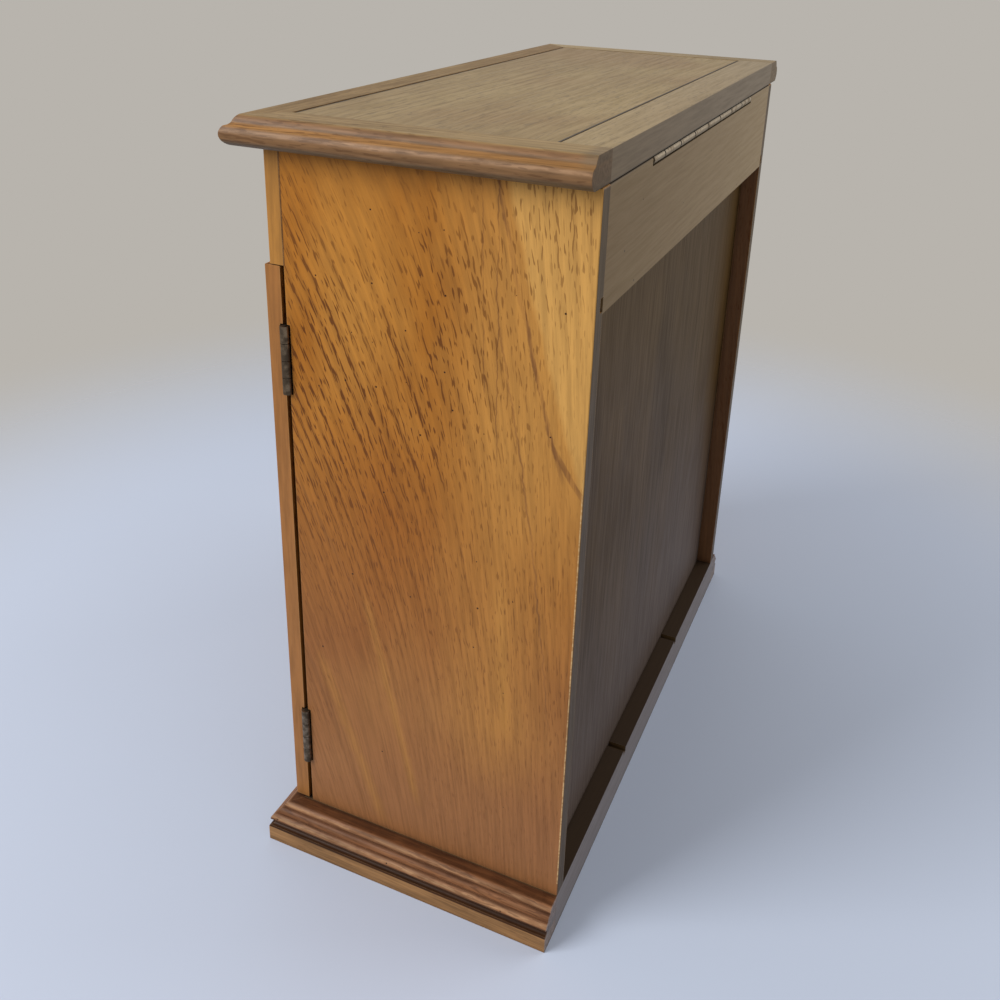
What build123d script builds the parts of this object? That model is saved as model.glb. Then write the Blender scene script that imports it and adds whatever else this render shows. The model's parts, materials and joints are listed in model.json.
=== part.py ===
"""Jewelry box with drawers, built as its separate wooden, glass and brass pieces.

Millimetres. Front is -Y, +Z is up. The origin is on the floor, in the middle of the box's footprint.
A case on a moulded base holds a lift-lid till, a middle column of drawers and two side bays with doors.
"""

import os
from math import ceil

from build123d import *

# Case
case_width = 320.0  # outside of the side panels
case_depth = 145.5  # front rail's face to the back face
case_top = 367.0  # top edge of the case above the floor
side_thick = 8.0
rail_thick = 7.25  # front rail and front stiles
back_rail_thick = 10.0
rail_height = 50.0  # front and back top rails
partition_spacing = 108.0  # between the middles of the two partitions
partition_thick = 4.0
stile_width = 8.0
dado_depth = 3.0
back_panel_thick = 4.0
till_floor_thick = 6.0
till_floor_lift = 1.0  # till floor above the lower edge of the rails
edge_round = 0.6
lid_edge_round = 1.0  # back top edge of the case, which lets the lid turn past it
glue_line = 0.05  # between the pieces of one glued-up frame or drawer

# Base
base_height = 22.0
board_proud = 0.5  # bottom board above the moulding's flat top
board_thick = 10.0
base_width = 13.9  # of the moulding, outwards
base_front_reach = 11.5  # beyond the front rail's face
reed_count = 3
reed_top_inset = 5.4
reed_side_inset = 0.7
reed_bottom = 13.2
reed_swell = 0.7
band_height = 9.6
groove_inset = 2.6
band_round = 0.9
base_rail_thick = 10.0

# Lid
lid_thick = 12.3
lid_gap = 0.6  # between the case's top edge and the lid
lid_side_reach = 13.4
lid_front_reach = 11.1
lid_rail_width = 20.9
lid_back_rail_width = 19.75
lid_flat_inset = 6.2  # from the lid's edge to its flat top
lid_shoulder = (3.9, 2.9)  # inwards from the lid's edge, down from its top
lid_shoulder_mid = (4.85, 1.2)
lid_cove_mid = (2.9, 3.85)
lid_cove_end = (1.5, 4.3)
lid_bead_height = 4.7  # bead's widest point above the lid's underside
lid_bead_end = (1.9, 0.85)  # inwards from the lid's edge, up from its underside
lid_under_mid = (2.85, 0.25)
lid_under_inset = 3.9
lid_panel_thick = 6.0
lid_panel_drop = 0.2  # panel below the frame's top
lid_groove_gap = 0.9  # open line along the panel's two long sides
tongue_thick = 3.0
tongue_reach = 3.5
tongue_play = 0.3
mirror_thick = 3.0
mirror_play = 0.4
mirror_bead_lift = 0.4  # beading above the lid's underside
mirror_bead_bevel = 1.5
mitre_cut = 16.0  # length of the saw cut across a beading's corner

# Long lid hinge
lid_hinge_length = 193.3
lid_knuckle_pitch = 25.4
lid_barrel_radius = 1.9
lid_barrel_gap = 0.3  # between the knuckles and the lid's underside
lid_axis_inset = 1.45  # hinge axis in front of the back face
lid_leaf_inset = 0.4  # leaf's edge behind the back rail's inner face
leaf_thick = 0.9
leaf_swing_gap = 0.3  # between a leaf and the other leaf's knuckles
mortise_end_gap = 1.2
lid_knuckle_gap = 0.7
lid_pin_radius = 1.0
pin_play = 0.08

# Doors and their hinges
door_thick = 7.8
door_leaf_gap = 0.4  # between the two leaves of a closed door hinge
door_side_gap = 1.0
door_top_gap = 0.5
door_bottom_gap = 0.8
door_stile_width = 20.0
door_top_rail = 24.0
door_bottom_rail = 28.0
sight_round = 2.0
glass_lip = 3.4  # wood in front of the glass
glass_thick = 2.0
glass_rebate = 4.0
glass_play = 0.4
door_bead_set = 0.2  # beading in front of the door's back face
door_bead_bevel = 1.3
door_hinge_length = 32.4
door_knuckle_count = 4
door_knuckle_gap = 0.3
door_barrel_radius = 2.1
door_axis_out = 0.5  # hinge axis outside the case's side
door_leaf_inset = 0.3  # leaf's edge outside the side panel's inner face
door_pin_radius = 0.9
notch_gap = 0.5
door_hinge_inset = 42.5  # hinge's middle from the door's top and bottom

# Knobs
knob_length = 13.0
knob_radius = 6.5
knob_neck = 3.0
knob_foot = 4.6
knob_neck_height = 3.8  # above the wood
knob_rim = 8.4  # height of its widest part
knob_crown = 4.6
screw_radius = 1.5
screw_play = 0.05
screw_head_radius = 3.2
screw_head_thick = 1.8
catch_set = 0.1  # magnet's face behind the stile's back face
catch_height = 14.0
catch_depth = 8.0

# Drawers and their runners
drawer_count = 4
drawer_gap = 0.6  # drawer front to its neighbours and to the stiles
drawer_side_gap = 0.7
drawer_front_thick = 8.0
drawer_lap = 4.0  # sides let into the ends of the front
drawer_side_thick = 6.5
drawer_side_drop = 8.0  # top edge of the sides below the front's top edge
drawer_back_thick = 5.0
drawer_bottom_thick = 3.0
drawer_bottom_lift = 5.0
drawer_back_gap = 0.4
bottom_groove = 2.5
runner_height = 5.0
runner_reach = 3.2
runner_play = 0.4
runner_drop = 24.0  # runner's top below the top edge of the drawer's side
runner_setback = 1.0
lining_thick = 1.2
drawer_lining_height = 14.0

# Till
till_lining_drop = 6.0
divider_thick = 4.0
divider_spacing = 100.0
divider_drop = 6.7  # below the case's top edge
divider_round = 1.3
roll_count = 6
roll_gap = 0.4
roll_flat = 0.8
soft_gap = 0.3

# Side bays
peg_rail_thick = 8.0
peg_rail_height = 14.0
peg_rail_drop = 16.0
peg_count = 3
peg_length = 14.0
peg_radius = 1.8
peg_head_radius = 3.6
peg_head_length = 3.4
bay_lining_thick = 1.5

# Places worked out from the sizes above
half = case_width / 2
board_top = base_height + board_proud
inner_half = half - side_thick
back_proud = lid_barrel_radius - lid_axis_inset
door_space = 2 * leaf_thick + door_leaf_gap
door_proud = door_thick + door_space - rail_thick
case_shift = (door_proud + knob_length - back_proud) / 2
back_y = case_shift + case_depth / 2
front_y = back_y - case_depth
side_front_y = front_y + rail_thick
rail_bottom = case_top - rail_height
till_floor_z = rail_bottom + till_floor_lift
till_floor_top = till_floor_z + till_floor_thick
rail_inner_y = back_y - back_rail_thick
panel_back_y = rail_inner_y
panel_front_y = panel_back_y - back_panel_thick
board_bottom = board_top - board_thick
base_front_y = front_y - base_front_reach
board_front_y = base_front_y + base_width
partition_in = partition_spacing / 2 - partition_thick / 2
partition_out = partition_spacing / 2 + partition_thick / 2
lid_bottom = case_top + lid_gap
lid_top = lid_bottom + lid_thick
lid_half = half + lid_side_reach
lid_front_y = front_y - lid_front_reach
lid_open_half = lid_half - lid_rail_width
lid_open_front = lid_front_y + lid_rail_width
lid_open_back = back_y - lid_back_rail_width
lid_axis_y = back_y - lid_axis_inset
lid_axis_drop = lid_barrel_radius + lid_barrel_gap
lid_axis_z = lid_bottom - lid_axis_drop
mortise_floor = lid_axis_z - lid_axis_drop
panel_bottom = lid_top - lid_panel_drop - lid_panel_thick
mirror_bottom = panel_bottom - mirror_thick
mirror_bead_size = mirror_bottom - lid_bottom - mirror_bead_lift
door_back_y = side_front_y - door_space
door_front_y = door_back_y - door_thick
door_axis_x = half + door_axis_out
door_axis_y = (door_back_y + side_front_y) / 2
door_inner_x = partition_in + stile_width + door_side_gap
door_bottom_z = board_top + door_bottom_gap
door_top_z = rail_bottom - door_top_gap
door_hinge_heights = (door_bottom_z + door_hinge_inset, door_top_z - door_hinge_inset)
notch = door_barrel_radius + notch_gap
window_x = (door_inner_x + door_stile_width, half - door_stile_width)
window_z = (door_bottom_z + door_bottom_rail, door_top_z - door_top_rail)
door_knob_x = door_inner_x + door_stile_width / 2
door_knob_z = (door_bottom_z + door_top_z) / 2
door_bead_thick = door_thick - glass_lip - glass_thick - door_bead_set
drawer_pitch = (rail_bottom - board_top) / drawer_count
drawer_half = partition_in - drawer_gap
drawer_box_half = partition_in - drawer_side_gap
drawer_inner_half = drawer_box_half - drawer_side_thick
drawer_box_y = front_y + drawer_front_thick
drawer_back_y = panel_front_y - drawer_back_gap
drawer_side_low = 2 * drawer_gap
drawer_side_high = drawer_pitch - drawer_gap - drawer_side_drop
runner_low = drawer_side_high - runner_drop - runner_height
mirror_left = Plane.YZ


def block(x, y, z, mode=Mode.ADD):
    """Rectangular block from a low to a high value along each axis, in the part being built."""
    with Locations(((x[0] + x[1]) / 2, (y[0] + y[1]) / 2, (z[0] + z[1]) / 2)):
        Box(x[1] - x[0], y[1] - y[0], z[1] - z[0], mode=mode)


def save(piece, label):
    """Name a finished piece and write it to its own file."""
    piece.part.label = label
    export_step(piece.part, f"parts/{label}.step")


def mirrored(piece):
    """The same piece for the other side of the box."""
    with BuildPart() as other:
        add(mirror(piece.part, about=mirror_left, mode=Mode.PRIVATE))
    return other


def save_pair(piece, right_label, left_label):
    """Write a right-hand piece and its left-hand twin."""
    save(piece, right_label)
    save(mirrored(piece), left_label)


os.makedirs("parts", exist_ok=True)

# Side panels
with BuildPart() as side_panel:
    block((inner_half, half), (side_front_y, back_y), (board_top, case_top))
    back_top_edge = side_panel.edges().filter_by(Axis.X).group_by(Axis.Y)[-1].sort_by(Axis.Z)[-1]
    fillet(back_top_edge, lid_edge_round)
    outer_back_edge = side_panel.edges().filter_by(Axis.Z).group_by(Axis.Y)[-1].sort_by(Axis.X)[-1]
    fillet(outer_back_edge, edge_round)
    dado = (inner_half, inner_half + dado_depth)
    block(dado, (side_front_y, back_y), (till_floor_z, till_floor_top), Mode.SUBTRACT)
    block(dado, (panel_front_y, panel_back_y), (board_top, till_floor_z), Mode.SUBTRACT)
    for height in door_hinge_heights:
        half_notch = door_hinge_length / 2 + door_knuckle_gap
        block(
            (door_axis_x - notch, half),
            (side_front_y, door_axis_y + notch),
            (height - half_notch, height + half_notch),
            Mode.SUBTRACT,
        )
save_pair(side_panel, "right_side_panel", "left_side_panel")

# Bottom board, with through dadoes for the partitions and a groove for the back panel
with BuildPart() as bottom_board:
    block((-half, half), (board_front_y, back_y), (board_bottom, board_top))
    slot_z = (board_top - dado_depth, board_top)
    for side in (-1, 1):
        slot_x = sorted((side * partition_in, side * partition_out))
        block(slot_x, (side_front_y, back_y), slot_z, Mode.SUBTRACT)
    block((-inner_half, inner_half), (panel_front_y, panel_back_y), slot_z, Mode.SUBTRACT)
save(bottom_board, "bottom_board")

# Till floor, with dadoes under it for the partitions
with BuildPart() as till_floor:
    floor_half = inner_half + dado_depth
    block((-floor_half, floor_half), (side_front_y, rail_inner_y), (till_floor_z, till_floor_top))
    for side in (-1, 1):
        slot_x = sorted((side * partition_in, side * partition_out))
        slot_z = (till_floor_z, till_floor_z + dado_depth)
        block(slot_x, (side_front_y, rail_inner_y), slot_z, Mode.SUBTRACT)
save(till_floor, "till_floor")

# Back panel, notched at its lower corners, which stand between the side panels
with BuildPart() as back_panel:
    grooved_half = inner_half + dado_depth
    block((-grooved_half, grooved_half), (panel_front_y, panel_back_y), (board_top, till_floor_z))
    block((-inner_half, inner_half), (panel_front_y, panel_back_y), (board_top - dado_depth, board_top))
save(back_panel, "back_panel")

# Top rails of the case
with BuildPart() as back_top_rail:
    block((-inner_half, inner_half), (rail_inner_y, back_y), (rail_bottom, case_top))
    fillet(back_top_rail.edges().filter_by(Axis.X).group_by(Axis.Y)[-1].sort_by(Axis.Z)[-1], lid_edge_round)
    mortise_half = lid_hinge_length / 2 + mortise_end_gap
    block((-mortise_half, mortise_half), (rail_inner_y, back_y), (mortise_floor, case_top), Mode.SUBTRACT)
save(back_top_rail, "back_top_rail")

with BuildPart() as front_top_rail:
    block((-half, half), (front_y, side_front_y), (rail_bottom, case_top))
    fillet(front_top_rail.edges().group_by(Axis.Y)[0], edge_round)
save(front_top_rail, "front_top_rail")

# Front stiles and partitions
with BuildPart() as front_stiles:
    for side in (-1, 1):
        stile_x = sorted((side * partition_in, side * (partition_in + stile_width)))
        block(stile_x, (front_y, side_front_y), (board_top, rail_bottom))
    fillet(front_stiles.edges().filter_by(Axis.Z).group_by(Axis.Y)[0], edge_round)
save(front_stiles, "front_stiles")

with BuildPart() as partition:
    block(
        (partition_in, partition_out),
        (side_front_y, panel_front_y),
        (board_top - dado_depth, till_floor_z + dado_depth),
    )
save_pair(partition, "right_partition", "left_partition")

# Base moulding: a reeded section round the front and the sides, mitred at the front corners
def base_edge(edge, outwards):
    """Outer line of the base moulding, from its flat top to the floor, in the sketch being drawn."""
    top = Vector(reed_top_inset, base_height)
    low = Vector(base_width - reed_side_inset, reed_bottom)
    swell = Vector(top.Y - low.Y, low.X - top.X).normalized() * reed_swell

    def at(point):
        return (edge + outwards * point.X, point.Y)

    for reed in range(reed_count):
        start = top + (low - top) * (reed / reed_count)
        end = top + (low - top) * ((reed + 1) / reed_count)
        ThreePointArc(at(start), at((start + end) / 2 + swell), at(end))
    groove = Vector(base_width - groove_inset, (reed_bottom + band_height) / 2)
    band = Vector(base_width - band_round / 2, band_height)
    shoulder = Vector(base_width, band_height - band_round)
    ThreePointArc(at(low), at(groove), at(band))
    Line(at(band), at(shoulder))
    Line(at(shoulder), at(Vector(base_width, 0)))


with BuildPart() as base_ring:
    with BuildSketch(Plane.XZ.offset(-back_y)):
        with BuildLine():
            base_edge(half, 1)
            base_edge(-half, -1)
            Line((half + reed_top_inset, base_height), (-half - reed_top_inset, base_height))
            Line((half + base_width, 0), (-half - base_width, 0))
        make_face()
    extrude(amount=back_y - base_front_y)
    with BuildSketch(Plane.YZ.offset(-half - base_width)):
        with BuildLine():
            base_edge(board_front_y, -1)
            Line((board_front_y - reed_top_inset, base_height), (back_y, base_height))
            Line((back_y, base_height), (back_y, 0))
            Line((back_y, 0), (base_front_y, 0))
        make_face()
    extrude(amount=2 * (half + base_width), mode=Mode.INTERSECT)
    block((-half, half), (board_front_y, back_y), (0, base_height), Mode.SUBTRACT)

right_base_mitre = Plane(origin=(half, board_front_y, 0), z_dir=(1, 1, 0))
left_base_mitre = Plane(origin=(-half, board_front_y, 0), z_dir=(-1, 1, 0))

with BuildPart() as base_side_moulding:
    add(base_ring.part)
    split(bisect_by=right_base_mitre, keep=Keep.TOP)
save_pair(base_side_moulding, "base_right_moulding", "base_left_moulding")

with BuildPart() as base_front_moulding:
    add(base_ring.part)
    split(bisect_by=right_base_mitre, keep=Keep.BOTTOM)
    split(bisect_by=left_base_mitre, keep=Keep.BOTTOM)
save(base_front_moulding, "base_front_moulding")

with BuildPart() as base_rear_rail:
    block((-half, half), (back_y - base_rail_thick, back_y), (0, board_bottom))
save(base_rear_rail, "base_rear_rail")


# Lid: a mitred frame with a moulded edge on the front and both ends, round a flat panel
def lid_edge(edge, outwards):
    """Outer line of the lid, from its flat top to its underside, in the sketch being drawn."""

    def from_top(point):
        return (edge - outwards * point[0], lid_top - point[1])

    def from_bottom(point):
        return (edge - outwards * point[0], lid_bottom + point[1])

    ThreePointArc(from_top((lid_flat_inset, 0)), from_top(lid_shoulder_mid), from_top(lid_shoulder))
    ThreePointArc(from_top(lid_shoulder), from_top(lid_cove_mid), from_top(lid_cove_end))
    ThreePointArc(from_top(lid_cove_end), from_bottom((0, lid_bead_height)), from_bottom(lid_bead_end))
    ThreePointArc(from_bottom(lid_bead_end), from_bottom(lid_under_mid), from_bottom((lid_under_inset, 0)))


panel_middle_z = panel_bottom + lid_panel_thick / 2
tongue_z = (panel_middle_z - tongue_thick / 2, panel_middle_z + tongue_thick / 2)
lid_open_x = (-lid_open_half, lid_open_half)
lid_open_y = (lid_open_front, lid_open_back)

with BuildPart() as lid_frame:
    with BuildSketch(Plane.XZ.offset(-back_y)):
        with BuildLine():
            lid_edge(lid_half, 1)
            lid_edge(-lid_half, -1)
            Line((lid_half - lid_flat_inset, lid_top), (lid_flat_inset - lid_half, lid_top))
            Line((lid_half - lid_under_inset, lid_bottom), (lid_under_inset - lid_half, lid_bottom))
        make_face()
    extrude(amount=back_y - lid_front_y)
    with BuildSketch(Plane.YZ.offset(-lid_half)):
        with BuildLine():
            lid_edge(lid_front_y, -1)
            Line((lid_front_y + lid_flat_inset, lid_top), (back_y, lid_top))
            Line((back_y, lid_top), (back_y, lid_bottom))
            Line((back_y, lid_bottom), (lid_front_y + lid_under_inset, lid_bottom))
        make_face()
    extrude(amount=2 * lid_half, mode=Mode.INTERSECT)
    block(lid_open_x, lid_open_y, (lid_bottom, lid_top), Mode.SUBTRACT)
    groove_depth = tongue_reach + tongue_play
    block(
        (-lid_open_half - groove_depth, lid_open_half + groove_depth),
        (lid_open_front - groove_depth, lid_open_back + groove_depth),
        tongue_z,
        Mode.SUBTRACT,
    )

right_lid_mitre = Plane(origin=(lid_open_half, lid_open_front, 0), z_dir=(1, 1, 0))
left_lid_mitre = Plane(origin=(-lid_open_half, lid_open_front, 0), z_dir=(-1, 1, 0))
lid_z = (lid_bottom, lid_top)

with BuildPart() as lid_end:
    add(lid_frame.part)
    block((lid_open_half, lid_half), (lid_front_y, back_y), lid_z, Mode.INTERSECT)
    split(bisect_by=right_lid_mitre, keep=Keep.TOP)
save_pair(lid_end, "lid_right_end", "lid_left_end")

with BuildPart() as lid_front_rail:
    add(lid_frame.part)
    block((-lid_half, lid_half), (lid_front_y, lid_open_front), lid_z, Mode.INTERSECT)
    split(bisect_by=right_lid_mitre, keep=Keep.BOTTOM)
    split(bisect_by=left_lid_mitre, keep=Keep.BOTTOM)
save(lid_front_rail, "lid_front_rail")

with BuildPart() as lid_rear_rail:
    add(lid_frame.part)
    block((-lid_open_half, lid_open_half), (lid_open_back, back_y), lid_z, Mode.INTERSECT)
save(lid_rear_rail, "lid_rear_rail")

with BuildPart() as lid_panel:
    block(
        (-lid_open_half, lid_open_half),
        (lid_open_front + lid_groove_gap, lid_open_back - lid_groove_gap),
        (panel_bottom, panel_bottom + lid_panel_thick),
    )
    block(
        (-lid_open_half - tongue_reach, lid_open_half + tongue_reach),
        (lid_open_front - tongue_reach, lid_open_back + tongue_reach),
        tongue_z,
    )
save(lid_panel, "lid_panel")

with BuildPart() as lid_mirror:
    block(
        (-lid_open_half + mirror_play, lid_open_half - mirror_play),
        (lid_open_front + mirror_play, lid_open_back - mirror_play),
        (mirror_bottom, panel_bottom),
    )
save(lid_mirror, "lid_mirror")

with BuildPart() as lid_mirror_beading:
    bead_z = (mirror_bottom - mirror_bead_size, mirror_bottom)
    block(lid_open_x, lid_open_y, bead_z)
    block(
        (-lid_open_half + mirror_bead_size, lid_open_half - mirror_bead_size),
        (lid_open_front + mirror_bead_size, lid_open_back - mirror_bead_size),
        bead_z,
        Mode.SUBTRACT,
    )
    under_face = lid_mirror_beading.faces().sort_by(Axis.Z)[0]
    chamfer(under_face.inner_wires()[0].edges(), mirror_bead_bevel)
    for corner_x, x_side in zip(lid_open_x, (-1, 1)):
        for corner_y, y_side in zip(lid_open_y, (-1, 1)):
            with Locations(Location((corner_x, corner_y, mirror_bottom), (0, 0, 45 * x_side * y_side))):
                Box(mitre_cut, glue_line, mitre_cut, mode=Mode.SUBTRACT)
save(lid_mirror_beading, "lid_mirror_beading")


# Long hinge: two leaves whose knuckles take turns along one pin
def long_hinge_leaf(first, side):
    """One leaf of the lid's hinge, above (1) or below (-1) the axis, with every other knuckle."""
    leaf_face = lid_axis_z + side * lid_axis_drop
    leaf_z = sorted((leaf_face, leaf_face - side * leaf_thick))
    leaf_front_y = rail_inner_y + lid_leaf_inset
    leaf_back_y = lid_axis_y - lid_barrel_radius - leaf_swing_gap
    with BuildPart() as leaf:
        end = lid_hinge_length / 2
        block((-end, end), (leaf_front_y, leaf_back_y), leaf_z)
        for knuckle in range(first, ceil(lid_hinge_length / lid_knuckle_pitch), 2):
            start_x = -end + knuckle * lid_knuckle_pitch + lid_knuckle_gap / 2
            end_x = min(start_x + lid_knuckle_pitch - lid_knuckle_gap, end)
            block((start_x, end_x), (leaf_back_y, lid_axis_y), leaf_z)
            with BuildSketch(Plane.YZ.offset(start_x)):
                with Locations((lid_axis_y, lid_axis_z)):
                    Circle(lid_barrel_radius)
            extrude(amount=end_x - start_x)
        with BuildSketch(Plane.YZ.offset(-end)):
            with Locations((lid_axis_y, lid_axis_z)):
                Circle(lid_pin_radius + pin_play)
        extrude(amount=lid_hinge_length, mode=Mode.SUBTRACT)
    return leaf


save(long_hinge_leaf(0, 1), "lid_hinge_lid_leaf")
save(long_hinge_leaf(1, -1), "lid_hinge_case_leaf")

with BuildPart() as lid_hinge_pin:
    with BuildSketch(Plane.YZ.offset(-lid_hinge_length / 2)):
        with Locations((lid_axis_y, lid_axis_z)):
            Circle(lid_pin_radius)
    extrude(amount=lid_hinge_length)
save(lid_hinge_pin, "lid_hinge_pin")

# Doors: a glazed frame of two stiles and two rails, rebated at the back for the glass
with BuildPart() as door_frame:
    door_y = (door_front_y, door_back_y)
    block((door_inner_x, half), door_y, (door_bottom_z, door_top_z))
    block(window_x, door_y, window_z, Mode.SUBTRACT)
    front_face = door_frame.faces().sort_by(Axis.Y)[0]
    fillet(front_face.inner_wires()[0].edges(), sight_round)
    front_face = door_frame.faces().sort_by(Axis.Y)[0]
    fillet(front_face.outer_wire().edges(), edge_round)
    block(
        (window_x[0] - glass_rebate, window_x[1] + glass_rebate),
        (door_front_y + glass_lip, door_back_y),
        (window_z[0] - glass_rebate, window_z[1] + glass_rebate),
        Mode.SUBTRACT,
    )
    for joint_x in window_x:
        joint = (joint_x - glue_line / 2, joint_x + glue_line / 2)
        block(joint, door_y, (door_bottom_z, window_z[0]), Mode.SUBTRACT)
        block(joint, door_y, (window_z[1], door_top_z), Mode.SUBTRACT)
    for height in door_hinge_heights:
        half_notch = door_hinge_length / 2 + door_knuckle_gap
        block(
            (door_axis_x - notch, half),
            (door_axis_y - notch, door_back_y),
            (height - half_notch, height + half_notch),
            Mode.SUBTRACT,
        )
    with BuildSketch(Plane.XZ.offset(-door_back_y)):
        with Locations((door_knob_x, door_knob_z)):
            Circle(screw_radius + screw_play)
    extrude(amount=door_thick, mode=Mode.SUBTRACT)
save_pair(door_frame, "right_door_frame", "left_door_frame")

glass_y = (door_front_y + glass_lip, door_front_y + glass_lip + glass_thick)
with BuildPart() as door_glass:
    spare = glass_rebate - glass_play
    glass_x = (window_x[0] - spare, window_x[1] + spare)
    glass_z = (window_z[0] - spare, window_z[1] + spare)
    block(glass_x, glass_y, glass_z)
save_pair(door_glass, "right_door_glass", "left_door_glass")

with BuildPart() as door_beading:
    bead_y = (glass_y[1], glass_y[1] + door_bead_thick)
    bead_x = (window_x[0] - glass_rebate, window_x[1] + glass_rebate)
    bead_z = (window_z[0] - glass_rebate, window_z[1] + glass_rebate)
    block(bead_x, bead_y, bead_z)
    block(window_x, bead_y, window_z, Mode.SUBTRACT)
    back_face = door_beading.faces().sort_by(Axis.Y)[-1]
    chamfer(back_face.inner_wires()[0].edges(), door_bead_bevel)
    for corner_x, x_side in zip(bead_x, (-1, 1)):
        for corner_z, z_side in zip(bead_z, (-1, 1)):
            with Locations(Location((corner_x, bead_y[0], corner_z), (0, -45 * x_side * z_side, 0))):
                Box(mitre_cut, mitre_cut, glue_line, mode=Mode.SUBTRACT)
save_pair(door_beading, "right_door_beading", "left_door_beading")


def butt_hinge_leaves(first, side):
    """One leaf of each door hinge, on the door's back (-1) or on the side panel's front edge (1)."""
    leaf_face = door_axis_y + side * door_space / 2
    leaf_y = sorted((leaf_face, leaf_face - side * leaf_thick))
    leaf_x = (inner_half + door_leaf_inset, door_axis_x - notch)
    pitch = door_hinge_length / door_knuckle_count
    with BuildPart() as leaves:
        for height in door_hinge_heights:
            bottom = height - door_hinge_length / 2
            block(leaf_x, leaf_y, (bottom, bottom + door_hinge_length))
            for knuckle in range(first, door_knuckle_count, 2):
                start_z = bottom + knuckle * pitch + door_knuckle_gap / 2
                block((leaf_x[1], door_axis_x), leaf_y, (start_z, start_z + pitch - door_knuckle_gap))
                with BuildSketch(Plane.XY.offset(start_z)):
                    with Locations((door_axis_x, door_axis_y)):
                        Circle(door_barrel_radius)
                extrude(amount=pitch - door_knuckle_gap)
            with BuildSketch(Plane.XY.offset(bottom)):
                with Locations((door_axis_x, door_axis_y)):
                    Circle(door_pin_radius + pin_play)
            extrude(amount=door_hinge_length, mode=Mode.SUBTRACT)
    return leaves


save_pair(butt_hinge_leaves(1, -1), "right_door_hinge_leaves", "left_door_hinge_leaves")

case_leaves = butt_hinge_leaves(0, 1)
with BuildPart() as case_hinge_leaves:
    add(case_leaves.part)
    mirror(about=mirror_left)
save(case_hinge_leaves, "case_hinge_leaves")

with BuildPart() as door_hinge_pins:
    for height in door_hinge_heights:
        with BuildSketch(Plane.XY.offset(height - door_hinge_length / 2)):
            with Locations((door_axis_x, door_axis_y), (-door_axis_x, door_axis_y)):
                Circle(door_pin_radius)
        extrude(amount=door_hinge_length)
save(door_hinge_pins, "door_hinge_pins")


def turned_knob(x, face_y, z, wood):
    """A turned knob on a front face, with its screw through the given thickness of wood, as one solid."""
    head = -wood - screw_head_thick
    with BuildPart() as knob:
        with BuildSketch(Plane(origin=(x, face_y, z), x_dir=(1, 0, 0), z_dir=(0, 0, -1))):
            with BuildLine():
                Line((screw_radius, 0), (knob_foot, 0))
                Line((knob_foot, 0), (knob_neck, knob_neck_height))
                Line((knob_neck, knob_neck_height), (knob_radius, knob_rim))
                Line((knob_radius, knob_rim), (knob_crown, knob_length))
                Line((knob_crown, knob_length), (0, knob_length))
                Line((0, knob_length), (0, head))
                Line((0, head), (screw_head_radius, head))
                Line((screw_head_radius, head), (screw_head_radius, -wood))
                Line((screw_head_radius, -wood), (screw_radius, -wood))
                Line((screw_radius, -wood), (screw_radius, 0))
            make_face()
        revolve(axis=Axis((x, face_y, z), (0, -1, 0)))
    return knob


door_knob = turned_knob(door_knob_x, door_front_y, door_knob_z, door_thick)
save_pair(door_knob, "right_door_knob", "left_door_knob")

# Door catches: a magnet behind each knob's screw
catch_y = side_front_y + catch_set
with BuildPart() as door_catches:
    for side in (-1, 1):
        catch_x = sorted((side * partition_out, side * (door_knob_x + screw_head_radius)))
        catch_z = (door_knob_z - catch_height / 2, door_knob_z + catch_height / 2)
        block(catch_x, (catch_y, catch_y + catch_depth), catch_z)
save(door_catches, "door_catches")

# Drawers, counted from the top, and the runners they hang on
with BuildPart() as drawer_runners:
    for place in range(drawer_count):
        runner_z = board_top + place * drawer_pitch + runner_low
        for side in (-1, 1):
            runner_x = sorted((side * (partition_in - runner_reach), side * partition_in))
            runner_y = (drawer_box_y + runner_setback, panel_front_y)
            block(runner_x, runner_y, (runner_z, runner_z + runner_height))
save(drawer_runners, "drawer_runners")

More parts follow.
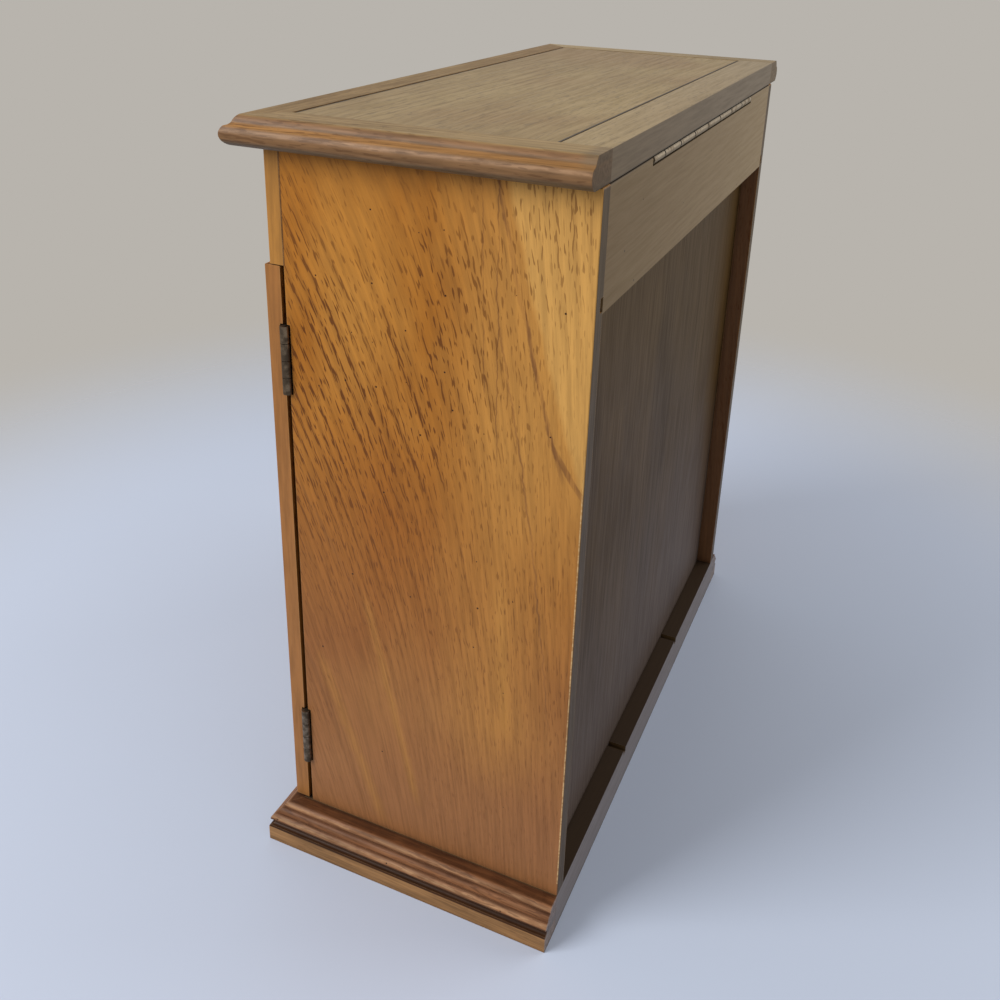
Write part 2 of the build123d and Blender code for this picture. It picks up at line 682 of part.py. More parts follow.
for place in range(drawer_count):
    name = f"drawer_{drawer_count - place}"
    base_z = board_top + place * drawer_pitch
    front_z = (base_z + drawer_gap, base_z + drawer_pitch - drawer_gap)
    side_z = (base_z + drawer_side_low, base_z + drawer_side_high)
    floor_z = (base_z + drawer_bottom_lift, base_z + drawer_bottom_lift + drawer_bottom_thick)
    knob_z = (front_z[0] + front_z[1]) / 2
    in_groove = drawer_inner_half + bottom_groove

    with BuildPart() as drawer_front:
        block((-drawer_half, drawer_half), (front_y, drawer_box_y), front_z)
        fillet(drawer_front.faces().sort_by(Axis.Y)[0].edges(), edge_round)
        for side in (-1, 1):
            lap_x = sorted((side * drawer_inner_half, side * drawer_half))
            block(lap_x, (drawer_box_y - drawer_lap, drawer_box_y), front_z, Mode.SUBTRACT)
        block((-in_groove, in_groove), (drawer_box_y - bottom_groove, drawer_box_y), floor_z, Mode.SUBTRACT)
        with BuildSketch(Plane.XZ.offset(-drawer_box_y)):
            with Locations((0, knob_z)):
                Circle(screw_radius + screw_play)
        extrude(amount=drawer_front_thick, mode=Mode.SUBTRACT)
    save(drawer_front, f"{name}_front")

    with BuildPart() as drawer_box:
        for side in (-1, 1):
            side_x = sorted((side * drawer_inner_half, side * drawer_box_half))
            side_y = (drawer_box_y - drawer_lap + glue_line, drawer_back_y)
            block(side_x, side_y, side_z)
            groove_x = sorted((side * drawer_inner_half, side * in_groove))
            block(groove_x, side_y, floor_z, Mode.SUBTRACT)
            cut_bottom = base_z + runner_low - runner_play
            cut_z = (cut_bottom, cut_bottom + runner_height + 2 * runner_play)
            cut_x = sorted((side * (partition_in - runner_reach - runner_play), side * drawer_box_half))
            block(cut_x, (drawer_box_y, drawer_back_y), cut_z, Mode.SUBTRACT)
        back_half = drawer_inner_half - glue_line
        back_z = (floor_z[1] + glue_line, side_z[1])
        block((-back_half, back_half), (drawer_back_y - drawer_back_thick, drawer_back_y), back_z)
        floor_half = in_groove - glue_line
        floor_y = (drawer_box_y - bottom_groove + glue_line, drawer_back_y)
        block((-floor_half, floor_half), floor_y, (floor_z[0] + glue_line, floor_z[1] - glue_line))
    save(drawer_box, f"{name}_box")

    with BuildPart() as drawer_lining:
        lining_half = drawer_inner_half - glue_line
        lining_y = (drawer_box_y + glue_line, drawer_back_y - drawer_back_thick - glue_line)
        lining_z = (floor_z[1], floor_z[1] + drawer_lining_height)
        block((-lining_half, lining_half), lining_y, lining_z)
        block(
            (-lining_half + lining_thick, lining_half - lining_thick),
            (lining_y[0] + lining_thick, lining_y[1] - lining_thick),
            (lining_z[0] + lining_thick, lining_z[1]),
            Mode.SUBTRACT,
        )
    save(drawer_lining, f"{name}_lining")
    save(turned_knob(0, front_y, knob_z, drawer_front_thick), f"{name}_knob")

# Till: lining, dividers and ring roll
till_y = (side_front_y, rail_inner_y)
lining_top = case_top - till_lining_drop
with BuildPart() as till_lining:
    block((-inner_half, inner_half), till_y, (till_floor_top, lining_top))
    block(
        (-inner_half + lining_thick, inner_half - lining_thick),
        (till_y[0] + lining_thick, till_y[1] - lining_thick),
        (till_floor_top + lining_thick, lining_top),
        Mode.SUBTRACT,
    )
save(till_lining, "till_lining")

tray_floor = till_floor_top + lining_thick
tray_y = (till_y[0] + lining_thick, till_y[1] - lining_thick)
with BuildPart() as till_dividers:
    for side in (-1, 1):
        middle = side * divider_spacing / 2
        divider_x = (middle - divider_thick / 2, middle + divider_thick / 2)
        block(divider_x, tray_y, (tray_floor, case_top - divider_drop))
    fillet(till_dividers.edges().filter_by(Axis.Y).group_by(Axis.Z)[-1], divider_round)
save(till_dividers, "till_dividers")

roll_pitch = (tray_y[1] - tray_y[0]) / roll_count
roll_radius = (roll_pitch - roll_gap) / 2
roll_half = divider_spacing / 2 - divider_thick / 2 - soft_gap
roll_z = tray_floor + roll_radius - roll_flat
with BuildPart() as ring_roll:
    for roll in range(roll_count):
        roll_y = tray_y[0] + (roll + 0.5) * roll_pitch
        with BuildSketch(Plane.YZ.offset(-roll_half)):
            with Locations((roll_y, roll_z)):
                Circle(roll_radius)
        extrude(amount=2 * roll_half)
    block((-roll_half, roll_half), tray_y, (tray_floor - roll_radius, tray_floor), Mode.SUBTRACT)
save(ring_roll, "ring_roll")

# Side bays: a rail of turned pegs at the back and a lining on the floor
bay_x = (partition_out, inner_half)
peg_rail_y = panel_front_y - peg_rail_thick
peg_rail_z = till_floor_z - peg_rail_drop - peg_rail_height
peg_pitch = (bay_x[1] - bay_x[0]) / peg_count
peg_z = peg_rail_z + peg_rail_height / 2

with BuildPart() as peg_rails:
    block(bay_x, (peg_rail_y, panel_front_y), (peg_rail_z, peg_rail_z + peg_rail_height))
    fillet(peg_rails.edges().filter_by(Axis.X).group_by(Axis.Y)[0], edge_round)
    mirror(about=mirror_left)
save(peg_rails, "peg_rails")

with BuildPart() as necklace_pegs:
    for peg in range(peg_count):
        peg_x = bay_x[0] + (peg + 0.5) * peg_pitch
        with BuildSketch(Plane(origin=(peg_x, peg_rail_y, peg_z), x_dir=(1, 0, 0), z_dir=(0, 0, -1))):
            with BuildLine():
                Line((0, 0), (peg_radius, 0))
                Line((peg_radius, 0), (peg_radius, peg_length - peg_head_length))
                Line((peg_radius, peg_length - peg_head_length), (peg_head_radius, peg_length))
                Line((peg_head_radius, peg_length), (0, peg_length))
                Line((0, peg_length), (0, 0))
            make_face()
        revolve(axis=Axis((peg_x, peg_rail_y, peg_z), (0, -1, 0)))
    mirror(about=mirror_left)
save(necklace_pegs, "necklace_pegs")

with BuildPart() as bay_linings:
    lining_x = (bay_x[0] + glue_line, bay_x[1] - glue_line)
    block(lining_x, (side_front_y, panel_front_y), (board_top, board_top + bay_lining_thick))
    mirror(about=mirror_left)
save(bay_linings, "bay_linings")
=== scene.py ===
"""Looks of a jewelry box with drawers: lacquered oak, aged brass, glass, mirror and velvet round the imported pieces.

Metres. The box's front is -Y, +Z is up, and the origin is on the floor under the middle of the box.
"""

import json
import logging
import math
from dataclasses import dataclass, field
from enum import Enum

import bmesh
import bpy
from mathutils import Matrix, Vector, noise


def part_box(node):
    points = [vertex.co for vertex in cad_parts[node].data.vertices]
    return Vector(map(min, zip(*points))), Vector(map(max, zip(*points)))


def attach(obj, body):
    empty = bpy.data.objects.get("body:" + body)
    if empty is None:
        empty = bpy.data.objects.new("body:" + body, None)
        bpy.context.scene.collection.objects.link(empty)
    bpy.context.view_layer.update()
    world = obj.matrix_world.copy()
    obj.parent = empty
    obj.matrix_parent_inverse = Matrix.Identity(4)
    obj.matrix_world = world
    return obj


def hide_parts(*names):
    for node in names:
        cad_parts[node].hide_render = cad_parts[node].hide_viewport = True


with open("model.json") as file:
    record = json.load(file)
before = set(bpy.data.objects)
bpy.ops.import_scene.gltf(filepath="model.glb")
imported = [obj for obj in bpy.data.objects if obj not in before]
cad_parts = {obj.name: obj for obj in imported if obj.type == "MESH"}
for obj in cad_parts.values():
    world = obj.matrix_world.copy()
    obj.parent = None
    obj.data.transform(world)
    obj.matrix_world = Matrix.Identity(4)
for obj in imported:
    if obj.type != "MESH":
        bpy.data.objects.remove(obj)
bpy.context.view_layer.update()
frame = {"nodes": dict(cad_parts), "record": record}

log = logging.getLogger("jewelry_box")
Colour = tuple[float, float, float]
Place = tuple[float, float, float]
Span = tuple[float, float]
Socket = bpy.types.NodeSocket
NodeTree = bpy.types.NodeTree
Material = bpy.types.Material
Builder = bmesh.types.BMesh
MM = 0.001
FAR = 1.0  # past every edge of the box
DRAWERS = 4
SIDES = {"left": -1, "right": 1}
SIDE_FACE = 160.0 * MM  # the outer faces of the side panels and the doors, from the middle plane
BACK_FACE = 80.4 * MM  # the rear face of the case and the lid
OUTER = (SIDE_FACE - 0.3 * MM, FAR)  # only the outer faces of the sides
GRAIN_MIDDLE = 0.19  # the height round which a board's rings are laid out
LEAN_SPAN = (-0.075, 0.085)  # where across a board its grain changes from one lean to the other


def joint_place(name: str) -> Vector:
    """Returns the point that a joint of the record turns about."""
    joints = frame["record"]["behaviour"]["joints"]
    found = next(joint for joint in joints if joint["name"] == name)
    return Vector(found["pos_m"])


def mm(*values: float) -> tuple[float, ...]:
    """Returns sizes that were written in millimetres, in metres."""
    return tuple(value * MM for value in values)


class Lay(Enum):
    """How a board lies in the box: its thickness, across the grain and along the grain, as frame axes."""

    UP_SIDE = "xyz"
    UP_FRONT = "yxz"
    ACROSS_FRONT = "yzx"
    ACROSS_FLAT = "zyx"
    DEEP_FLAT = "zxy"
    DEEP_SIDE = "xzy"


@dataclass(frozen=True)
class Zone:
    """A part of a piece that has its own colour, as spans along the frame's axes.

    The axis "side" is the distance from the box's middle plane, so that left and right pieces share a zone.
    A zone may calm the grain within it, and with a pitch its span of x comes again at that distance.
    """

    colour: Colour
    share: float = 1.0
    patch: float = 0.0
    calm: float = 0.0
    soft: float = 0.15 * MM
    pitch: float = 0.0
    side: Span | None = None
    x: Span | None = None
    y: Span | None = None
    z: Span | None = None


@dataclass(frozen=True)
class Streak:
    """A streak of another colour down a side panel, from a place (y, z) to a lower one.

    Its reach is how far it goes to the front and to the back of its line, its bow moves its middle to the back, it
    fades at both ends, and a broken streak shows less in the paler fibres of the wood.
    """

    colour: Colour
    start: Span
    end: Span
    reach: Span
    bow: float = 0.0
    share: float = 1.0
    broken: float = 0.0
    soft: float = 0.3 * MM
    fade: float = 6 * MM
    wobble: float = 4 * MM


class Tree:
    """A node tree that is being built, with short calls for the nodes that materials use most."""

    def __init__(self, tree: NodeTree) -> None:
        """Wraps the node tree of a material, a group or the world."""
        self.tree = tree

    def node(self, kind: str, inputs: dict | None = None, **settings: object) -> bpy.types.Node:
        """Adds a node and fills its inputs.

        Args:
            kind: Blender's node type without its ShaderNode prefix.
            inputs: Socket name or number, with a value or with the socket that feeds it.
            settings: The node's own properties.

        Returns:
            The new node.
        """
        made = self.tree.nodes.new("ShaderNode" + kind)
        for name, value in settings.items():
            setattr(made, name, value)
        for key, value in (inputs or {}).items():
            self.feed(made.inputs[key], value)
        return made

    def feed(self, socket: Socket, value: object) -> None:
        """Links a socket to another, or sets its value.

        Args:
            socket: The input socket.
            value: An output socket, a number, or a colour or vector.
        """
        if isinstance(value, Socket):
            self.tree.links.new(value, socket)
        elif isinstance(value, tuple) and socket.type == "RGBA":
            socket.default_value = (*value, 1.0)
        else:
            socket.default_value = value

    def math(self, operation: str, *values: object, clamp: bool = False) -> Socket:
        """Adds a math node on numbers or sockets, and returns its result."""
        made = self.node("Math", dict(enumerate(values)), operation=operation, use_clamp=clamp)
        return made.outputs[0]

    def times(self, *values: object) -> Socket:
        """Multiplies two numbers or sockets."""
        return self.math("MULTIPLY", *values)

    def step(self, value: object, low: float, high: float, start: float = 0, end: float = 1) -> Socket:
        """Adds a smooth step from one value to another.

        Args:
            value: The socket that is mapped.
            low: Where the step starts.
            high: Where it ends.
            start: The result before the step.
            end: The result after it.

        Returns:
            The mapped value.
        """
        inputs = {0: value, 1: low, 2: high, 3: start, 4: end}
        return self.node("MapRange", inputs, interpolation_type="SMOOTHSTEP").outputs[0]

    def mix(self, share: object, first: object, second: object) -> Socket:
        """Adds a mix of two colours, with the second one's share, and returns the mixed colour."""
        made = self.node("Mix", data_type="RGBA")
        for socket, value in zip((made.inputs[0], made.inputs[6], made.inputs[7]), (share, first, second)):
            self.feed(socket, value)
        return made.outputs[2]

    def noise(self, vector: object, scale: float, octaves: float = 2.0, rough: float = 0.5) -> Socket:
        """Adds a noise texture with so many cells to the metre, and returns its value."""
        made = self.node("TexNoise", {"Vector": vector, "Scale": scale, "Detail": octaves, "Roughness": rough})
        return made.outputs["Fac"]

    def stretch(self, vector: object, *scale: float) -> Socket:
        """Multiplies a vector's three values by three factors."""
        return self.node("VectorMath", {0: vector, 1: scale}, operation="MULTIPLY").outputs[0]

    def split(self, vector: object) -> tuple[Socket, ...]:
        """Separates a vector into its three values."""
        return tuple(self.node("SeparateXYZ", {0: vector}).outputs)

    def join(self, *values: object) -> Socket:
        """Joins three values to a vector."""
        return self.node("CombineXYZ", dict(enumerate(values))).outputs[0]

    def use(self, group: NodeTree, **inputs: object) -> bpy.types.NodeOutputs:
        """Adds a shared group with its inputs by name, in lower case, and returns its outputs."""
        made = self.node("Group", node_tree=group)
        for name, value in inputs.items():
            self.feed(made.inputs[name.capitalize()], value)
        return made.outputs

    def mask(self, group: NodeTree, **inputs: object) -> Socket:
        """Adds a shared group that makes a mask, and returns the mask."""
        return self.use(group, **inputs)["Mask"]


class Group(Tree):
    """A shared shader node group with named inputs and outputs."""

    def __init__(self, name: str, inputs: dict[str, object], outputs: str) -> None:
        """Makes an empty group.

        Args:
            name: The group's name.
            inputs: Each input's name with its value, or None for a vector.
            outputs: The names of its outputs, which are all numbers.
        """
        super().__init__(bpy.data.node_groups.new(name, "ShaderNodeTree"))
        for label, value in inputs.items():
            kind = "NodeSocketVector" if value is None else "NodeSocketFloat"
            socket = self.tree.interface.new_socket(label, in_out="INPUT", socket_type=kind)
            if value is not None:
                socket.default_value = value
        for label in outputs.split():
            self.tree.interface.new_socket(label, in_out="OUTPUT", socket_type="NodeSocketFloat")
        self.inputs = self.tree.nodes.new("NodeGroupInput").outputs
        self.result = self.tree.nodes.new("NodeGroupOutput")

    def give(self, **results: Socket) -> NodeTree:
        """Links the group's outputs, by name in lower case, and returns the finished group."""
        for name, socket in results.items():
            self.feed(self.result.inputs[name.capitalize()], socket)
        return self.tree


class Effects:
    """The node groups that more than one finish uses, each built once."""

    def __init__(self) -> None:
        """Builds every group."""
        self.specks = self.build_specks()
        self.figure = self.build_figure()
        self.window = self.build_window()
        self.edges = self.build_edges()
        self.creases = self.build_creases()
        self.pile = self.build_pile()
        self.dust = self.build_dust()

    def build_figure(self) -> NodeTree:
        """Builds the grain of oak, in a space whose Z runs along the grain.

        Growth rings lean and wander, and pores lie as broken dashes, most of them in bands along the rings.

        Returns:
            The group, with the outputs Line, Pore, Cloud and Tone.
        """
        inputs = {"Vector": None, "Spacing": 4 * MM, "Lean": 0.2, "Wander": 20 * MM, "Vigour": 1.0}
        group = Group("Oak figure", inputs, "Line Pore Cloud Tone")
        place = group.inputs["Vector"]
        deep, across, along = group.split(place)
        wander = group.math("SUBTRACT", group.noise(group.stretch(place, 1, 1, 0.35), 10.0), 0.5)
        wander = group.times(wander, group.inputs["Wander"])
        leaning = group.times(along, group.inputs["Lean"])
        radius = group.math("ADD", across, group.math("MULTIPLY_ADD", deep, 0.4, leaning))
        rings = group.math("DIVIDE", group.math("ADD", radius, wander), group.inputs["Spacing"])
        turn = group.math("FRACT", rings)
        ring = group.math("FLOOR", rings)
        chance = group.node("TexWhiteNoise", {"W": ring}, noise_dimensions="1D").outputs["Value"]
        band = group.times(group.step(turn, 0.45, 0.72), group.step(turn, 0.85, 1.0, 1.0, 0.0))
        band = group.times(band, group.step(chance, 0.1, 0.7, 0.25, 1.0))
        quiet = group.step(group.noise(group.stretch(place, 1, 1, 0.4), 17.0), 0.34, 0.56, 0.3, 1.0)
        strength = group.times(quiet, group.inputs["Vigour"])
        band = group.times(band, strength)
        fibre = group.join(deep, group.math("MULTIPLY_ADD", leaning, 0.8, across), along)
        dashes = group.noise(group.stretch(fibre, 1, 1, 0.125), 1400.0, 0.5)
        dashes = group.math("MULTIPLY_ADD", band, 0.21, dashes)
        pore = group.times(group.step(dashes, 0.63, 0.71), strength)
        thread = group.noise(group.stretch(fibre, 1, 1, 0.06), 1100.0, 1.0)
        thread = group.times(group.step(thread, 0.63, 0.72, 0.0, 0.6), strength)
        pore = group.math("MAXIMUM", pore, thread)
        cloud = group.noise(group.stretch(place, 1, 1, 0.4), 24.0, 3.0, 0.55)
        tone = group.noise(group.stretch(fibre, 1, 1, 0.05), 520.0, 4.0, 0.65)
        return group.give(line=band, pore=pore, cloud=cloud, tone=tone)

    @staticmethod
    def build_specks() -> NodeTree:
        """Builds the round specks of an antiqued finish on the plane of Y and Z, with the output Mask."""
        group = Group("Specks", {"Vector": None, "Scale": 62.0, "Radius": 0.5 * MM, "Share": 0.5}, "Mask")
        _, across, along = group.split(group.inputs["Vector"])
        plane = group.join(across, along, 0.0)
        inputs = {"Vector": plane, "Scale": group.inputs["Scale"]}
        cells = group.node("TexVoronoi", inputs, voronoi_dimensions="2D")
        chance, size, _ = group.split(cells.outputs["Color"])
        reach = group.times(group.inputs["Radius"], group.inputs["Scale"])
        reach = group.times(reach, group.math("MULTIPLY_ADD", size, 0.9, 0.4))
        inside = group.math("DIVIDE", cells.outputs["Distance"], reach)
        chosen = group.math("LESS_THAN", chance, group.inputs["Share"])
        return group.give(mask=group.times(group.step(inside, 0.6, 1.2, 1.0, 0.0), chosen))

    @staticmethod
    def build_window() -> NodeTree:
        """Builds a soft-edged window on one value, with the output Mask."""
        group = Group("Window", {"Value": 0.0, "Low": 0.0, "High": 1.0, "Soft": 0.15 * MM}, "Mask")
        value, soft = group.inputs["Value"], group.inputs["Soft"]
        above = group.math("DIVIDE", group.math("SUBTRACT", value, group.inputs["Low"]), soft)
        below = group.math("DIVIDE", group.math("SUBTRACT", group.inputs["High"], value), soft)
        both = group.math("MINIMUM", above, below)
        return group.give(mask=group.math("MULTIPLY_ADD", both, 0.5, 0.5, clamp=True))

    @staticmethod
    def build_edges() -> NodeTree:
        """Builds a mask of a piece's outer edges, where handling has thinned the finish, with the output Mask."""
        group = Group("Edge wear", {"Vector": None, "Radius": 0.7 * MM}, "Mask")
        rounded = group.node("Bevel", {"Radius": group.inputs["Radius"]}, samples=4)
        flat = group.node("NewGeometry").outputs["Normal"]
        normals = {0: rounded.outputs[0], 1: flat}
        turned = group.node("VectorMath", normals, operation="DOT_PRODUCT").outputs["Value"]
        patchy = group.step(group.noise(group.inputs["Vector"], 160.0), 0.35, 0.6, 0.3, 1.0)
        edge = group.step(group.math("SUBTRACT", 1.0, turned), 0.02, 0.22)
        return group.give(mask=group.times(edge, patchy))

    @staticmethod
    def build_creases() -> NodeTree:
        """Builds a mask of grooves and inner corners from ambient occlusion, with the output Mask; wood and velvet
        use it to paint shade, metal to put tarnish in its hollows.
        """
        group = Group("Creases", {"Distance": 5 * MM}, "Mask")
        lit = group.node("AmbientOcclusion", {"Distance": group.inputs["Distance"]}, samples=5).outputs["AO"]
        return group.give(mask=group.step(lit, 0.3, 0.9, 1.0, 0.0))

    @staticmethod
    def build_pile() -> NodeTree:
        """Builds the short pile of velvet, with the outputs Nap, for colour, and Height, for bump."""
        group = Group("Velvet pile", {"Vector": None}, "Nap Height")
        brushed = group.noise(group.inputs["Vector"], 38.0, 3.0, 0.6)
        hairs = group.noise(group.inputs["Vector"], 2600.0, 1.0)
        return group.give(nap=group.step(brushed, 0.35, 0.68), height=hairs)

    @staticmethod
    def build_dust() -> NodeTree:
        """Builds thin smears and dust, which dull a clear or polished surface, with the output Mask."""
        group = Group("Dust", {"Vector": None}, "Mask")
        smears = group.noise(group.stretch(group.inputs["Vector"], 1, 1, 2.4), 34.0, 4.0, 0.65)
        grains = group.noise(group.inputs["Vector"], 900.0)
        grains = group.times(group.step(grains, 0.5, 0.75), 0.4)
        return group.give(mask=group.math("ADD", grains, group.step(smears, 0.45, 0.7)))


def shade(colour: Colour, share: float) -> Colour:
    """Returns a colour with its channels multiplied."""
    return tuple(channel * share for channel in colour)


class Surface(Tree):
    """The node tree of a new material, with its shader and the piece's own coordinates."""

    def __init__(self, effects: Effects, label: str) -> None:
        """Starts a material of this name, which can use the shared node groups."""
        self.material = bpy.data.materials.new(label)
        self.material.use_nodes = True
        super().__init__(self.material.node_tree)
        self.effects = effects
        self.shader = self.tree.nodes["Principled BSDF"]
        self.place = self.node("TexCoord").outputs["Object"]

    def window(self, value: Socket, span: Span, soft: float) -> Socket:
        """Adds the mask of a span with soft ends."""
        return self.mask(self.effects.window, value=value, low=span[0], high=span[1], soft=soft)

    def zones(self, zones: tuple[Zone, ...]) -> list[tuple[Zone, object]]:
        """Adds the masks of zones, and returns each zone with its mask."""
        if not zones:
            return []
        x, y, z = self.split(self.place)
        axes = {"side": self.math("ABSOLUTE", x), "x": x, "y": y, "z": z}
        patchy = self.noise(self.stretch(self.place, 0.3, 0.3, 1.6), 330.0, 3.0, 0.6)
        patchy = self.step(patchy, 0.4, 0.58)
        found = []
        for zone in zones:
            mask = zone.share
            for axis, value in axes.items():
                span = getattr(zone, axis)
                if span and axis == "x" and zone.pitch:
                    turns = self.math("DIVIDE", self.math("SUBTRACT", value, span[0]), zone.pitch)
                    value = self.times(self.math("FRACT", turns), zone.pitch)
                    span = (0.0, span[1] - span[0])
                if span:
                    mask = self.times(self.window(value, span, zone.soft), mask)
            if zone.patch:
                mask = self.times(mask, self.math("MULTIPLY_ADD", patchy, zone.patch, 1.0 - zone.patch))
            found.append((zone, mask))
        return found

    def streak(self, tone: Socket, streak: Streak) -> Socket:
        """Adds the mask of a streak.

        Args:
            tone: The grain's fine tone, which breaks the streak up.
            streak: The streak.

        Returns:
            The mask.
        """
        x, y, z = self.split(self.place)
        (start, top), (end, foot) = streak.start, streak.end
        share = self.math("MULTIPLY_ADD", z, -1.0 / (top - foot), top / (top - foot))
        line = self.math("MULTIPLY_ADD", share, end - start, start)
        arch = self.times(share, self.math("SUBTRACT", 1.0, share))
        line = self.math("MULTIPLY_ADD", arch, 4.0 * streak.bow, line)
        wobble = self.math("SUBTRACT", self.noise(self.join(0.0, start, z), 90.0, 3.0, 0.6), 0.5)
        line = self.math("MULTIPLY_ADD", wobble, streak.wobble, line)
        front, back = streak.reach
        across = self.window(self.math("SUBTRACT", y, line), (-front, back), streak.soft)
        ends = self.window(z, (foot, top), streak.fade)
        outer = self.step(self.math("ABSOLUTE", x), SIDE_FACE - 0.4 * MM, SIDE_FACE - 0.2 * MM, 0.0, streak.share)
        mask = self.times(self.times(across, ends), outer)
        if streak.broken:
            mask = self.times(mask, self.step(tone, 0.4, 0.6, 1.0 - streak.broken, 1.0))
        return mask

    def finish(self, inputs: dict[str, object], height: Socket | None = None, depth: float = 0) -> Material:
        """Feeds the shader.

        Args:
            inputs: The shader's inputs by name, with sockets or values.
            height: The relief's height, from 0 to 1.
            depth: Its real depth.

        Returns:
            The material.
        """
        if height is not None:
            inputs["Normal"] = self.node("Bump", {"Height": height, "Distance": depth}).outputs["Normal"]
        for name, value in inputs.items():
            self.feed(self.shader.inputs[name], value)
        return self.material


@dataclass(frozen=True)
class Wood:
    """Stained and lacquered oak."""

    name: str
    light: Colour
    deep: Colour
    warm: Colour
    pore: Colour
    worn: Colour
    # The colour of the shade painted into grooves and inner corners, and of the antique specks.
    crease: Colour
    spacing: float = 4 * MM
    lean: Span = (0.2, 0.2)
    wander: float = 20 * MM
    vigour: float = 1.0
    fibre: float = 0.1
    relief: float = 0.05 * MM
    line_share: float = 0.25
    pore_share: float = 0.85
    speck_share: float = 0.45
    speck_radius: float = 0.4 * MM
    edge_share: float = 0.5
    # How strongly, and how far from a groove or inner corner, shade is painted into the colour.
    crease_shade_share: float = 0.6
    crease_shade_reach: float = 5 * MM
    gloss: float = 0.34
    shine: float = 0.35
    coat: float = 0.12
    coat_gloss: float = 0.2

    def figure(self, surface: Surface, lay: Lay, rails: Span | None, vigour: object) -> tuple:
        """Adds the grain.

        Args:
            surface: The material that is being made.
            lay: How the board lies.
            rails: For a frame, the distances from the middle plane between which its rails lie across.
            vigour: How strong the grain is, from 0 to 1.

        Returns:
            The grain's coordinates and the figure's outputs.
        """
        axes = dict(zip("xyz", surface.split(surface.place)))
        axes["z"] = surface.math("SUBTRACT", axes["z"], GRAIN_MIDDLE)
        grain = surface.join(*(axes[letter] for letter in lay.value))
        if rails:
            within = surface.window(surface.math("ABSOLUTE", axes["x"]), rails, 0.02 * MM)
            crossing = surface.join(*(axes[letter] for letter in Lay.ACROSS_FRONT.value))
            grain = surface.node("Mix", {0: within, 4: grain, 5: crossing}, data_type="VECTOR").outputs[1]
        lean = surface.step(axes[lay.value[1]], *LEAN_SPAN, *self.lean)
        inputs = {"vector": grain, "spacing": self.spacing, "lean": lean, "wander": self.wander, "vigour": vigour}
        return grain, surface.use(surface.effects.figure, **inputs)

    def material(
        self,
        effects: Effects,
        lay: Lay,
        label: str = "",
        zones: tuple[Zone, ...] = (),
        rails: Span | None = None,
        streaks: tuple[Streak, ...] = (),
    ) -> Material:
        """Makes the finish for a board that lies one way.

        Args:
            effects: The shared node groups.
            lay: How the board lies.
            label: The end of the material's name.
            zones: The parts of the piece that have their own colours, the last on top.
            rails: For a frame, the distances from the middle plane between which its rails lie across.
            streaks: Streaks down a side panel.

        Returns:
            The material.
        """
        made = Surface(effects, f"{self.name}_{label or lay.value}")
        masks = made.zones(zones)
        vigour = self.vigour
        for zone, mask in masks:
            if zone.calm:
                vigour = made.times(vigour, made.math("MULTIPLY_ADD", mask, -zone.calm, 1.0))
        grain, figure = self.figure(made, lay, rails, vigour)
        colour = made.mix(made.step(figure["Cloud"], 0.3, 0.7), self.light, self.deep)
        colour = made.mix(made.step(made.noise(made.place, 11.0), 0.42, 0.66), colour, self.warm)
        for zone, mask in masks:
            colour = made.mix(mask, colour, zone.colour)
        for streak in streaks:
            colour = made.mix(made.streak(figure["Tone"], streak), colour, streak.colour)
        fibre = made.step(figure["Tone"], 0.3, 0.72, 1.0 + self.fibre, 1.0 - self.fibre)
        shaded = made.node("VectorMath", {0: colour, "Scale": fibre}, operation="SCALE").outputs[0]
        dark = made.times(figure["Line"], self.line_share)
        dark = made.math("MAXIMUM", dark, made.times(figure["Pore"], self.pore_share))
        speckled = made.times(vigour, self.speck_share / self.vigour)
        specks = made.mask(effects.specks, vector=grain, share=speckled, radius=self.speck_radius)
        # Painted shade: ambient occlusion darkens grooves and inner corners, and makes them rougher.
        creases = made.mask(effects.creases, distance=self.crease_shade_reach)
        colour = made.mix(dark, shaded, self.pore)
        worn = made.times(made.mask(effects.edges, vector=made.place), self.edge_share)
        colour = made.mix(worn, colour, self.worn)
        colour = made.mix(made.times(creases, self.crease_shade_share), colour, self.crease)
        rough = made.step(figure["Tone"], 0.3, 0.8, self.gloss, self.gloss + 0.12)
        inputs = {
            "Base Color": made.mix(specks, colour, self.crease),
            "Roughness": made.math("MULTIPLY_ADD", creases, 0.4, rough, clamp=True),
            "Specular IOR Level": self.shine,
            "Coat Weight": self.coat,
            "Coat Roughness": self.coat_gloss,
        }
        return made.finish(inputs, made.math("SUBTRACT", 1.0, made.math("MAXIMUM", dark, specks)), self.relief)


@dataclass(frozen=True)
class Metal:
    """Brass or steel with tarnish."""

    name: str
    bright: Colour
    tarnish: Colour
    level: float = 0.5
    gloss: float = 0.3

    def material(self, effects: Effects, label: str = "", zones: tuple[Zone, ...] = ()) -> Material:
        """Makes the finish.

        Args:
            effects: The shared node groups.
            label: The end of the material's name.
            zones: The parts that have their own colours.

        Returns:
            The material.
        """
        made = Surface(effects, self.name + label)
        patches = made.noise(made.place, 190.0, 4.0, 0.62)
        stained = made.step(patches, self.level - 0.14, self.level + 0.14, 1.0, 0.0)
        worn = made.mask(effects.edges, vector=made.place, radius=0.3 * MM)
        stained = made.math("SUBTRACT", stained, worn, clamp=True)
        colour = made.mix(stained, self.bright, self.tarnish)
        for zone, mask in made.zones(zones):
            colour = made.mix(mask, colour, zone.colour)
        creases = made.times(made.mask(effects.creases, distance=1.2 * MM), 0.9)
        inputs = {
            "Base Color": made.mix(creases, colour, shade(self.tarnish, 0.12)),
            "Metallic": 1.0,
            "Roughness": made.step(stained, 0.0, 1.0, self.gloss, self.gloss + 0.28),
        }
        return made.finish(inputs, made.noise(made.place, 1400.0), 0.02 * MM)


